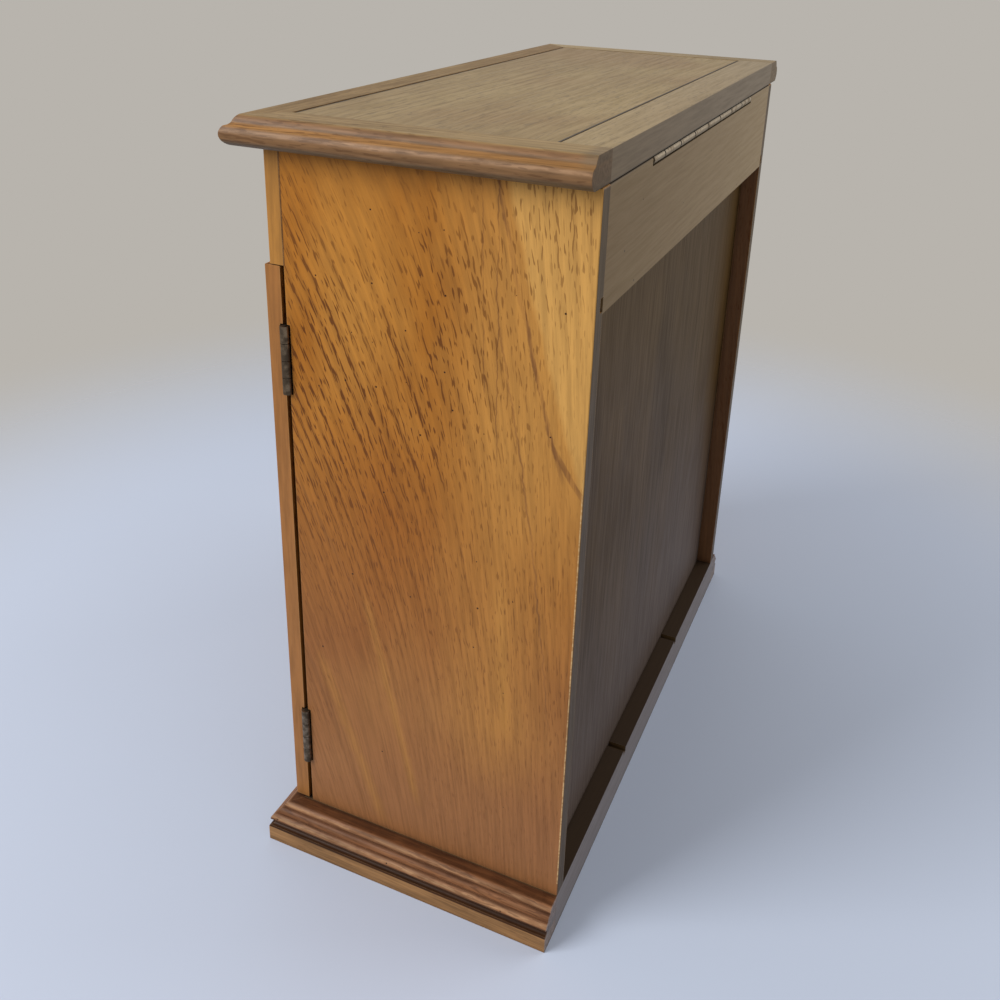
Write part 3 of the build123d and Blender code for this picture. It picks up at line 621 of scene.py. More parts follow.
@dataclass(frozen=True)
class Velvet:
    """Short-pile velvet."""

    name: str
    base: Colour
    nap: Colour
    sheen: Colour = (0.8, 0.3, 0.34)

    def material(self, effects: Effects) -> Material:
        """Makes the finish."""
        made = Surface(effects, self.name)
        pile = made.use(effects.pile, vector=made.place)
        # Painted shade: ambient occlusion darkens the velvet in its folds and inner corners.
        creases = made.times(made.mask(effects.creases, distance=6 * MM), 0.6)
        colour = made.mix(pile["Nap"], self.base, self.nap)
        inputs = {
            "Base Color": made.mix(creases, colour, shade(self.base, 0.35)),
            "Roughness": 0.9,
            "Specular IOR Level": 0.15,
            "Sheen Weight": 0.4,
            "Sheen Tint": self.sheen,
            "Sheen Roughness": 0.35,
        }
        return made.finish(inputs, pile["Height"], 0.25 * MM)


@dataclass(frozen=True)
class Polished:
    """Clear glass or a mirror, with dust and thin smears."""

    name: str
    clean: Colour
    dusty: Colour
    clear: bool

    def material(self, effects: Effects) -> Material:
        """Makes the finish."""
        made = Surface(effects, self.name)
        dust = made.mask(effects.dust, vector=made.place)
        inputs = {
            "Base Color": made.mix(dust, self.clean, self.dusty),
            "Roughness": made.step(dust, 0.0, 1.4, 0.01, 0.08),
            "Transmission Weight" if self.clear else "Metallic": 1.0,
        }
        return made.finish(inputs)


HONEY_OAK = Wood(
    "oak", light=(0.42, 0.178, 0.028), deep=(0.31, 0.108, 0.009), warm=(0.36, 0.138, 0.015),
    pore=(0.10, 0.027, 0.002), worn=(0.52, 0.29, 0.11), crease=(0.03, 0.009, 0.002), lean=(0.46, 0.08),
    spacing=4.8 * MM, fibre=0.15, line_share=0.25, pore_share=0.9, gloss=0.42, shine=0.2, coat=0.04,
)
MOULDING_OAK = Wood(
    "oak_moulding", light=(0.20, 0.08, 0.03), deep=(0.13, 0.046, 0.016), warm=(0.165, 0.062, 0.022),
    pore=(0.05, 0.016, 0.006), worn=(0.40, 0.22, 0.11), crease=(0.02, 0.007, 0.003), lean=(0.03, 0.03),
    wander=3 * MM, spacing=1.6 * MM, fibre=0.3, line_share=0.2, pore_share=0.5, speck_share=0.25, edge_share=0.35,
    crease_shade_share=0.75, crease_shade_reach=3 * MM, gloss=0.4, shine=0.14, coat=0.02,
)
# The lid's oak, greyer and more olive than the sides' oak: part of the lacquer's pale sheen is painted into its
# colour.
LID_OAK_WITH_SHEEN = Wood(
    "oak_lid", light=(0.325, 0.222, 0.092), deep=(0.26, 0.167, 0.065), warm=(0.27, 0.165, 0.064),
    pore=(0.075, 0.045, 0.018), worn=(0.27, 0.18, 0.09), crease=(0.02, 0.009, 0.004), lean=(0.03, 0.03),
    spacing=6 * MM, vigour=0.7, fibre=0.12, line_share=0.12, pore_share=0.6, speck_share=0.12, edge_share=0.3,
    crease_shade_share=0.2, crease_shade_reach=1.5 * MM, gloss=0.34, shine=0.28, coat=0.04,
)
LID_EDGE_OAK = Wood(
    "oak_lid_edge", light=(0.275, 0.175, 0.072), deep=(0.22, 0.132, 0.05), warm=(0.245, 0.145, 0.056),
    pore=(0.06, 0.022, 0.008), worn=(0.27, 0.13, 0.06), crease=(0.02, 0.007, 0.003), lean=(0.03, 0.03),
    wander=3 * MM, spacing=1.6 * MM, vigour=0.9, fibre=0.24, line_share=0.2, pore_share=0.5, speck_share=0.2,
    edge_share=0.15, crease_shade_share=0.3, crease_shade_reach=2 * MM, gloss=0.4, shine=0.14, coat=0.03,
)
# The oak of the pieces at the back, much darker than the sides' oak: the shade that falls on the back is painted into
# its colour.
BACK_OAK_PAINTED_SHADE = Wood(
    "oak_back", light=(0.125, 0.076, 0.03), deep=(0.105, 0.06, 0.022), warm=(0.115, 0.066, 0.026),
    pore=(0.06, 0.036, 0.02), worn=(0.19, 0.13, 0.08), crease=(0.015, 0.008, 0.004), lean=(0.03, 0.03), vigour=0.3,
    fibre=0.05, line_share=0.1, pore_share=0.3, speck_share=0.08, edge_share=0.3, crease_shade_reach=3 * MM, gloss=0.42,
    shine=0.14, coat=0.0,
)
BACK_BOARD = Wood(
    "back_board", light=(0.078, 0.043, 0.013), deep=(0.05, 0.026, 0.007), warm=(0.062, 0.033, 0.009),
    pore=(0.03, 0.018, 0.01), worn=(0.08, 0.05, 0.03), crease=(0.012, 0.006, 0.003), lean=(0.02, 0.02), vigour=0.3,
    fibre=0.16, line_share=0.1, pore_share=0.3, speck_share=0.0, gloss=0.36, shine=0.06, coat=0.0,
)
INNER_WOOD = Wood(
    "inner_wood", light=(0.30, 0.165, 0.078), deep=(0.24, 0.125, 0.055), warm=(0.27, 0.14, 0.066),
    pore=(0.13, 0.06, 0.028), worn=(0.36, 0.22, 0.12), crease=(0.06, 0.025, 0.012), lean=(0.05, 0.05), vigour=0.5,
    line_share=0.15, pore_share=0.5, speck_share=0.03, gloss=0.55, shine=0.3, coat=0.0,
)
HINGE_BRASS = Metal("brass", bright=(0.27, 0.22, 0.155), tarnish=(0.20, 0.155, 0.105), level=0.42, gloss=0.45)
KNOB_BRASS = Metal("knob_brass", bright=(0.68, 0.46, 0.20), tarnish=(0.30, 0.17, 0.07), level=0.4, gloss=0.22)
DARK_BRASS = Metal("aged_brass", bright=(0.26, 0.20, 0.14), tarnish=(0.09, 0.068, 0.048), level=0.55)
STEEL = Metal("magnet", bright=(0.42, 0.40, 0.38), tarnish=(0.16, 0.12, 0.09), level=0.45, gloss=0.35)
RED_VELVET = Velvet("lining", base=(0.10, 0.006, 0.012), nap=(0.22, 0.014, 0.028))
CLEAR_GLASS = Polished("door_glass", clean=(0.97, 0.99, 0.98), dusty=(0.9, 0.93, 0.92), clear=True)
SILVER_MIRROR = Polished("mirror", clean=(0.9, 0.92, 0.91), dusty=(0.8, 0.82, 0.81), clear=False)


def dress(material: Material, nodes: str) -> None:
    """Gives CAD nodes, whose names stand in one text, a material."""
    for node in nodes.split():
        mesh = frame["nodes"][node].data
        mesh.materials.clear()
        mesh.materials.append(material)
    log.info("dressed %s in %s", nodes, material.name)


def dress_boards(effects: Effects, *rows: tuple[Wood, Lay, str, tuple[Zone, ...], str]) -> None:
    """Gives boards their wood.

    Args:
        effects: The shared node groups.
        rows: A wood, how the boards lie, the end of the material's name, its zones and the nodes' names.
    """
    for wood, lay, label, zones, nodes in rows:
        dress(wood.material(effects, lay, label, zones), nodes)


def add_object(name: str, data: bpy.types.ID) -> bpy.types.Object:
    """Adds an object to the scene."""
    added = bpy.data.objects.new(name, data)
    bpy.context.scene.collection.objects.link(added)
    return added


def finished_mesh(name: str, builder: Builder) -> bpy.types.Mesh:
    """Returns a new mesh of what was built, and frees the builder."""
    mesh = bpy.data.meshes.new(name)
    builder.to_mesh(mesh)
    builder.free()
    return mesh


def new_piece(
    name: str, builder: Builder, body: str, material: Material, smooth: bool = True
) -> bpy.types.Object:
    """Turns a finished mesh into a piece that rides on a body.

    Args:
        name: The piece's name.
        builder: The mesh, which is freed.
        body: The CAD body that carries the piece.
        material: The piece's material.
        smooth: Whether its faces are shaded smooth.

    Returns:
        The piece.
    """
    bmesh.ops.recalc_face_normals(builder, faces=builder.faces)
    for face in builder.faces:
        face.smooth = smooth
    piece = add_object(name, finished_mesh(name, builder))
    piece.data.materials.append(material)
    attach(piece, body)
    log.info("built %s on %s, %d faces", name, body, len(piece.data.polygons))
    return piece


def circle(radius: float, steps: int) -> list[Span]:
    """Returns points round a circle."""
    turns = (2 * math.pi * step / steps for step in range(steps))
    return [(radius * math.cos(turn), radius * math.sin(turn)) for turn in turns]


def join_rings(builder: Builder, rings: list[list[bmesh.types.BMVert]]) -> None:
    """Joins neighbouring rings of points with faces.

    Args:
        builder: The mesh.
        rings: Rings of equal length, or of one point where the form closes.
    """
    for first, second in zip(rings, rings[1:]):
        count = max(len(first), len(second))
        for step in range(count):
            after = (step + 1) % count
            corners = [first[step % len(first)], first[after % len(first)]]
            corners += [second[after % len(second)], second[step % len(second)]]
            unique = list(dict.fromkeys(corners))
            if len(unique) > 2:
                builder.faces.new(unique)


def soften(builder: Builder, edges: list[bmesh.types.BMEdge], radius: float, steps: int) -> None:
    """Rounds edges."""
    bmesh.ops.bevel(builder, geom=edges, offset=radius, segments=steps, affect="EDGES", clamp_overlap=True)


@dataclass
class Case:
    """The case and its moulded base."""

    effects: Effects
    above_door: Span = mm(317.0, 400.0)
    panel_back: float = 70.4 * MM
    front: float = -57.85 * MM
    inner_side: float = 152.0 * MM
    top: float = 367.0 * MM
    base_top: float = 22.0 * MM
    reed_foot: float = 13.2 * MM
    reeds: int = 3
    band_top: float = 9.6 * MM
    ledge: float = 22.4 * MM
    low_top: float = 110 * MM
    # Paler gold high at the back: partly the wood's own colour, partly painted light.
    gold: Colour = (0.55, 0.295, 0.078)
    honey: Colour = (0.425, 0.19, 0.038)
    amber: Colour = (0.255, 0.072, 0.003)
    russet: Colour = (0.185, 0.06, 0.014)
    # Darker and pinker low down: partly a stain, partly painted shade and a painted reflection of the pale table.
    foot: Colour = (0.245, 0.105, 0.045)
    dark_figure: Colour = (0.20, 0.08, 0.022)
    worn_edge: Colour = (0.66, 0.44, 0.21)
    back_face_shade: Colour = (0.062, 0.036, 0.014)
    recess_shade: Colour = (0.15, 0.068, 0.028)
    rail_end: Colour = (0.345, 0.155, 0.032)
    joint_stain: Colour = (0.04, 0.012, 0.003)
    flat_dirt_and_shade: Colour = (0.08, 0.03, 0.012)
    valley_stain: Colour = (0.085, 0.034, 0.016)
    crest_wear: Colour = (0.43, 0.25, 0.13)
    groove_dirt_and_shade: Colour = (0.04, 0.015, 0.005)
    band_wood: Colour = (0.29, 0.15, 0.055)
    far_rail_light: Colour = (0.27, 0.19, 0.10)
    low_table_reflection: Colour = (0.105, 0.08, 0.07)
    line_stain: Colour = (0.02, 0.011, 0.006)
    ledge_shade: Colour = (0.032, 0.02, 0.014)
    rear_painted_light: Colour = (0.17, 0.145, 0.14)

    def build(self) -> None:
        """Dresses the case's pieces."""
        zones, streaks = self.side_zones(), self.side_streaks()
        sides = HONEY_OAK.material(self.effects, Lay.UP_SIDE, "side", zones, streaks=streaks)
        dress(sides, "left_side_panel right_side_panel")
        joint = (
            Zone(self.rail_end, calm=1.0, side=OUTER),
            Zone(self.joint_stain, share=0.9, side=OUTER, y=(self.front - 0.3 * MM, FAR)),
        )
        rail = HONEY_OAK.material(self.effects, Lay.UP_FRONT, "rail", joint, rails=(0.0, OUTER[0]))
        dress(rail, "front_top_rail")
        base, ledge = self.base_zones(), self.ledge_zones()
        # Painted reflection: the back panel's lower part is greyer, as the pale table shows in its lacquer.
        low = (Zone(self.low_table_reflection, share=0.8, soft=70 * MM, z=(-FAR, self.low_top)),)
        dress_boards(
            self.effects,
            (HONEY_OAK, Lay.UP_FRONT, "stile", (), "front_stiles"),
            (MOULDING_OAK, Lay.ACROSS_FRONT, "front", base, "base_front_moulding"),
            (MOULDING_OAK, Lay.DEEP_SIDE, "end", base, "base_left_moulding base_right_moulding"),
            (BACK_OAK_PAINTED_SHADE, Lay.ACROSS_FRONT, "rail", self.rail_zones(), "back_top_rail"),
            (BACK_OAK_PAINTED_SHADE, Lay.ACROSS_FRONT, "base", ledge, "base_rear_rail"),
            (BACK_OAK_PAINTED_SHADE, Lay.ACROSS_FLAT, "board", ledge, "bottom_board"),
            (BACK_BOARD, Lay.UP_FRONT, "board", low, "back_panel"),
            (INNER_WOOD, Lay.ACROSS_FLAT, "", (), "till_floor"),
            (INNER_WOOD, Lay.UP_SIDE, "", (), "left_partition right_partition"),
            (INNER_WOOD, Lay.DEEP_SIDE, "", (), "drawer_runners"),
            (INNER_WOOD, Lay.ACROSS_FRONT, "", (), "peg_rails"),
        )

    def side_zones(self) -> tuple[Zone, ...]:
        """Returns the side panels' zones: the wood's colours, partly painted light and shade high at the back and low
        down; its back edge, whose rear face is painted as shade; its recess, painted as shade; and its front joint.
        """
        joint = (self.front - MM, self.front + 0.5 * MM)
        outer = (SIDE_FACE - 0.2 * MM, FAR)
        inner = (0.0, self.inner_side + 0.3 * MM)
        return (
            # Darker and pinker low down: partly a stain, partly painted shade and a painted reflection of the pale
            # table.
            Zone(self.foot, share=0.9, calm=0.95, soft=0.13, z=(-FAR, 0.13)),
            Zone(self.russet, share=0.7, calm=0.5, soft=0.05, y=(-FAR, -0.02), z=(0.10, 0.165)),
            Zone(self.amber, share=0.85, soft=0.05, y=(-0.04, 0.022), z=(0.165, 0.25)),
            Zone(self.honey, share=0.7, calm=0.4, soft=0.02, y=(0.03, 0.06), z=(0.09, 0.37)),
            # Paler gold high at the back: partly the wood's own colour, partly painted light.
            Zone(self.gold, share=0.45, calm=0.7, soft=0.035, y=(0.047, FAR), z=(0.225, FAR)),
            Zone(self.joint_stain, share=0.9, patch=0.2, y=joint, z=self.above_door),
            Zone(self.worn_edge, share=0.9, patch=0.6, side=outer, y=(BACK_FACE - 0.7 * MM, FAR), z=(0.03, 0.26)),
            # Painted shade on the panel's rear face, which looks away from the light.
            Zone(self.back_face_shade, calm=0.9, y=(BACK_FACE - 0.15 * MM, FAR)),
            # Painted shade inside the recess behind the back panel.
            Zone(self.recess_shade, side=inner, y=(self.panel_back, BACK_FACE - 0.3 * MM)),
        )

    def side_streaks(self) -> tuple[Streak, ...]:
        """Returns the streaks of the side panels, from the back to the front."""
        dark, pale = self.dark_figure, self.honey
        return (
            # A broad gold streak high at the back: partly the wood's figure, partly painted light.
            Streak(self.gold, mm(40.0, 380), mm(80.0, 240), mm(0.0, 60), bow=-1.5 * MM, share=0.8, soft=1.5 * MM),
            Streak(dark, mm(38.8, 372), mm(70.5, 250), mm(1.6, 0.3), bow=-1.5 * MM, share=0.9, broken=0.7),
            Streak(dark, mm(69.0, 258), mm(81.5, 240), mm(2.6, 0.4), share=0.8, broken=0.5),
            Streak(dark, mm(42.0, 305), mm(70.5, 120), mm(0.5, 0.3), bow=3 * MM, share=0.85, broken=0.5),
            Streak(dark, mm(39.5, 372), mm(42.0, 250), mm(0.2, 0.25), share=0.8, broken=0.6, soft=0.15 * MM),
            Streak(dark, mm(33.0, 372), mm(36.0, 270), mm(0.2, 0.25), share=0.7, broken=0.8, soft=0.15 * MM),
            Streak(pale, mm(45.5, 190), mm(51.0, 110), mm(2.5, 2.0), share=0.7, soft=2 * MM),
            Streak(dark, mm(-56.0, 215), mm(-20.0, 150), mm(1.0, 0.6), share=0.5, broken=0.4, soft=MM),
            Streak(dark, mm(-54.5, 118), mm(-24.5, 30), mm(1.5, 0.7), share=0.55, broken=0.3, soft=1.5 * MM),
            Streak(pale, mm(-48.0, 118), mm(-16.0, 30), mm(2.0, 2.0), share=0.5, soft=3 * MM),
            Streak(pale, mm(-22.0, 160), mm(4.0, 50), mm(1.5, 1.5), share=0.55, soft=2 * MM),
        )

    def rail_zones(self) -> tuple[Zone, ...]:
        """Returns the back rail's zones: paler to one end as painted light, with grime along its upper edge."""
        return (
            # Painted light: paler towards the far end.
            Zone(self.far_rail_light, soft=0.24, x=(-FAR, 0.07)),
            Zone(self.line_stain, share=0.9, z=(self.top - 0.35 * MM, FAR)),
        )

    def ledge_zones(self) -> tuple[Zone, ...]:
        """Returns the zones of the wood behind the back panel: a ledge painted dark as shade and rear faces painted
        paler as light.
        """
        return (
            # Painted light: the rear faces paler and greyer, as the light and a grey sheen fall there.
            Zone(self.rear_painted_light, y=(BACK_FACE - 0.2 * MM, FAR)),
            # Painted shade on the ledge's top.
            Zone(self.ledge_shade, z=(self.ledge, FAR)),
        )

    def base_zones(self) -> tuple[Zone, ...]:
        """Returns the base's zones: a dark flat, worn reeds with dark valleys, a dark groove and a golden band; the
        flat and the groove are dirt and painted shade together, and the rear end is painted paler as light.
        """
        pitch = (self.base_top - self.reed_foot) / self.reeds
        # Dirt and painted shade on the flat beside the panel.
        zones = [Zone(self.flat_dirt_and_shade, patch=0.25, z=(self.base_top - 0.12 * MM, FAR))]
        for reed, share in enumerate((0.6, 0.15, 0.8)):
            crest = self.base_top - (reed + 0.45) * pitch
            span = (crest - 0.7 * MM, crest + 0.7 * MM)
            zones.append(Zone(self.crest_wear, share=share, patch=0.5, soft=0.6 * MM, z=span))
            valley = self.base_top - (reed + 1) * pitch
            span = (valley - 0.3 * MM, valley + 0.3 * MM)
            zones.append(Zone(self.valley_stain, share=0.9, soft=0.35 * MM, z=span))
        zones.append(Zone(self.band_wood, share=0.9, calm=0.5, z=(-FAR, self.band_top - 0.2 * MM)))
        # Dirt and painted shade in the groove, under the lowest reed.
        zones.append(Zone(self.groove_dirt_and_shade, calm=0.9, z=(self.band_top - MM, self.reed_foot + 0.5 * MM)))
        # Painted light on the rear end, as on the rear faces.
        zones.append(Zone(self.rear_painted_light, share=0.8, calm=0.9, y=(BACK_FACE - 0.2 * MM, FAR)))
        return tuple(zones)


@dataclass
class Lid:
    """The hinged lid with its moulded edge, mirror and beading."""

    effects: Effects
    bottom: float = 367.6 * MM
    opening_side: float = 152.5 * MM
    opening_y: Span = mm(-55.3, 60.65)
    top: float = 379.5 * MM
    line_width: float = 1.8 * MM
    shoulder: Span = mm(377.6, 379.75)
    shoulder_line: Span = mm(376.9, 377.6)
    cove: Span = mm(375.2, 377.0)
    highlight: Span = mm(373.3, 374.9)
    bead: Span = mm(369.8, 374.0)
    under: float = 369.9 * MM
    edge_top: float = 379.3 * MM
    shoulder_side: Span = (0.1675, FAR)
    shoulder_front: Span = (-FAR, -0.0705)
    smudge_y: Span = (0.075, FAR)
    smudge_z: Span = (0.3765, FAR)
    copper: Colour = (0.165, 0.058, 0.018)
    shade_line: Colour = (0.07, 0.022, 0.007)
    golden: Colour = (0.265, 0.10, 0.016)
    painted_bead_highlight: Colour = (0.36, 0.19, 0.10)
    brown: Colour = (0.115, 0.036, 0.009)
    under_shade: Colour = (0.036, 0.012, 0.004)
    rear_face_shade: Colour = (0.062, 0.034, 0.013)
    far_face_light: Colour = (0.115, 0.078, 0.04)
    far_top_light: Colour = (0.43, 0.31, 0.16)
    line_stain: Colour = (0.018, 0.010, 0.005)
    smudge: Colour = (0.09, 0.06, 0.038)

    def build(self) -> None:
        """Dresses the lid's pieces."""
        rear, edge = self.rear_zones(), self.edge_zones()
        dress_boards(
            self.effects,
            (LID_OAK_WITH_SHEEN, Lay.ACROSS_FLAT, "panel", self.panel_zones(), "lid_panel"),
            (LID_EDGE_OAK, Lay.ACROSS_FLAT, "front", edge, "lid_front_rail"),
            (LID_OAK_WITH_SHEEN, Lay.ACROSS_FLAT, "rear", rear, "lid_rear_rail"),
            (LID_EDGE_OAK, Lay.DEEP_FLAT, "end", (*edge, *rear), "lid_left_end lid_right_end"),
            (INNER_WOOD, Lay.ACROSS_FLAT, "lid_beading", (), "lid_mirror_beading"),
        )
        dress(SILVER_MIRROR.material(self.effects), "lid_mirror")

    def panel_zones(self) -> tuple[Zone, ...]:
        """Returns the dark lines round the lid's panel, strong along its long sides and thin at its ends."""
        low, high = self.opening_y
        end = (self.opening_side - 0.35 * MM, FAR)
        top = (self.top, FAR)
        return (
            Zone(self.line_stain, share=0.75, patch=0.5, side=end, z=top),
            Zone(self.line_stain, y=(high - self.line_width, FAR), z=top),
            Zone(self.line_stain, patch=0.3, y=(-FAR, low + self.line_width), z=top),
        )

    def rear_zones(self) -> tuple[Zone, ...]:
        """Returns the zones of the lid's rear face: paler towards the far end as painted light, the face itself
        painted dark as shade, and grime along its lower edge.
        """
        rear = (BACK_FACE - 0.1 * MM, FAR)
        return (
            # Painted light: paler towards the far end.
            Zone(self.far_top_light, soft=0.2, x=(-FAR, 0.06)),
            # Painted shade on the rear face, which looks away from the light; on the end pieces it also stands for
            # their darker end grain.
            Zone(self.rear_face_shade, calm=0.8, y=rear),
            # Painted light: the rear face paler towards the far end.
            Zone(self.far_face_light, soft=0.2, x=(-FAR, 0.02), y=rear),
            Zone(self.line_stain, share=0.9, y=rear, z=(0.0, self.bottom + 0.4 * MM)),
        )

    def edge_zones(self) -> tuple[Zone, ...]:
        """Returns the moulded edge's zones, from its shoulder down to its underside, with a painted highlight along
        the bead and painted shade on the underside.
        """
        wear = {"share": 0.95, "patch": 0.3, "soft": 0.5 * MM, "z": self.shoulder}
        return (
            Zone(self.brown, soft=0.5 * MM, z=(0.0, self.edge_top)),
            Zone(self.copper, side=self.shoulder_side, **wear),
            Zone(self.copper, y=self.shoulder_front, **wear),
            Zone(self.golden, soft=0.4 * MM, z=self.cove),
            Zone(self.shade_line, share=0.8, patch=0.4, soft=0.4 * MM, z=self.shoulder_line),
            Zone(self.brown, soft=0.6 * MM, z=self.bead),
            # Painted highlight along the bead.
            Zone(self.painted_bead_highlight, share=0.5, patch=0.85, soft=0.5 * MM, z=self.highlight),
            # Painted shade on the underside.
            Zone(self.under_shade, soft=0.7 * MM, z=(0.0, self.under)),
            Zone(self.smudge, share=0.7, soft=2 * MM, y=self.smudge_y, z=self.smudge_z),
        )


@dataclass
class Knob:
    """A turned brass knob with its screw, which stands for a CAD knob."""

    node: str
    body: str
    wood: float
    steps: int = 48
    profile: tuple[Span, ...] = (
        (0.0, 4.6), (0.7, 4.6), (1.1, 4.3), (1.4, 3.5), (2.2, 2.9), (3.4, 2.6), (4.4, 2.7), (5.2, 3.2),
        (5.9, 4.2), (6.5, 5.4), (7.2, 6.2), (8.2, 6.45), (9.3, 6.2), (10.4, 5.4), (11.5, 4.1), (12.4, 2.4),
        (12.8, 1.2), (12.95, 0.0),
    )
    screw_radius: float = 1.5 * MM
    head_radius: float = 3.1 * MM
    head_thick: float = 1.7 * MM
    head_sunk: float = 0.02 * MM
    length: float = 13.0 * MM

    def build(self, material: Material) -> None:
        """Makes the knob in place of its node, of this brass."""
        low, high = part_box(self.node)
        middle = (low + high) / 2
        face = low.y + self.length
        shank = face + self.wood
        line = [(shank + self.head_thick, 0.0), (shank + self.head_thick, self.head_radius)]
        line += [(shank + self.head_sunk, self.head_radius), (shank + self.head_sunk, self.screw_radius)]
        line += [(face - 0.01 * MM, self.screw_radius)]
        line += [(face - height * MM, radius * MM) for height, radius in self.profile]
        builder = bmesh.new()
        rings = []
        for place, radius in line:
            points = circle(radius, self.steps if radius else 1)
            rings.append([builder.verts.new((middle.x + x, place, middle.z + z)) for x, z in points])
        join_rings(builder, rings)
        piece = new_piece(f"turned_{self.node}", builder, self.body, material)
        piece.data.set_sharp_from_angle(angle=math.radians(50))
        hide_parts(self.node)


@dataclass
class Screws:
    """The small slotted screws that hold one row of hinge leaves."""

    name: str
    body: str
    slot: str
    places: list[Vector]
    outwards: Vector
    radius: float = 1.7 * MM
    proud: float = 0.14 * MM
    slot_width: float = 0.5 * MM
    slot_depth: float = 0.35 * MM
    foot: float = -0.3 * MM
    turn: float = 0.7
    steps: int = 24

    def build(self, material: Material) -> None:
        """Makes the screw heads of this metal."""
        builder = bmesh.new()
        for index, place in enumerate(self.places):
            self.add_head(builder, place, self.turn * index)
        new_piece(self.name, builder, self.body, material, smooth=False)

    def add_head(self, builder: Builder, place: Vector, turn: float) -> None:
        """Adds one head, flush but for a low crown, with a cut slot.

        Args:
            builder: The mesh.
            place: The head's middle on the leaf's face.
            turn: The slot's angle.
        """
        head = bmesh.new()
        rings = []
        for radius, height in ((self.radius, self.foot), (self.radius, 0.0), (self.radius * 0.8, self.proud * 0.7)):
            rings.append([head.verts.new((x, y, height)) for x, y in circle(radius, self.steps)])
        join_rings(head, rings)
        head.faces.new(rings[-1])
        half = self.slot_width / 2
        for edge in (-half, half):
            parts = [*head.verts, *head.edges, *head.faces]
            bmesh.ops.bisect_plane(head, geom=parts, plane_co=(0, edge, 0), plane_no=(0, 1, 0))
        strip = [face for face in head.faces if abs(face.calc_center_median().y) < half]
        strip = [face for face in strip if face.normal.z > 0.5 or face.calc_center_median().z > 0.5 * self.proud]
        sunk = bmesh.ops.extrude_face_region(head, geom=strip)["geom"]
        sunk = [part for part in sunk if isinstance(part, bmesh.types.BMVert)]
        bmesh.ops.translate(head, vec=(0, 0, -self.slot_depth), verts=sunk)
        bmesh.ops.delete(head, geom=strip, context="FACES_ONLY")
        facing = self.outwards.to_track_quat("Z", "Y").to_matrix().to_4x4()
        head.transform(Matrix.Translation(place) @ facing @ Matrix.Rotation(turn, 4, "Z"))
        mesh = finished_mesh("head", head)
        builder.from_mesh(mesh)
        bpy.data.meshes.remove(mesh)


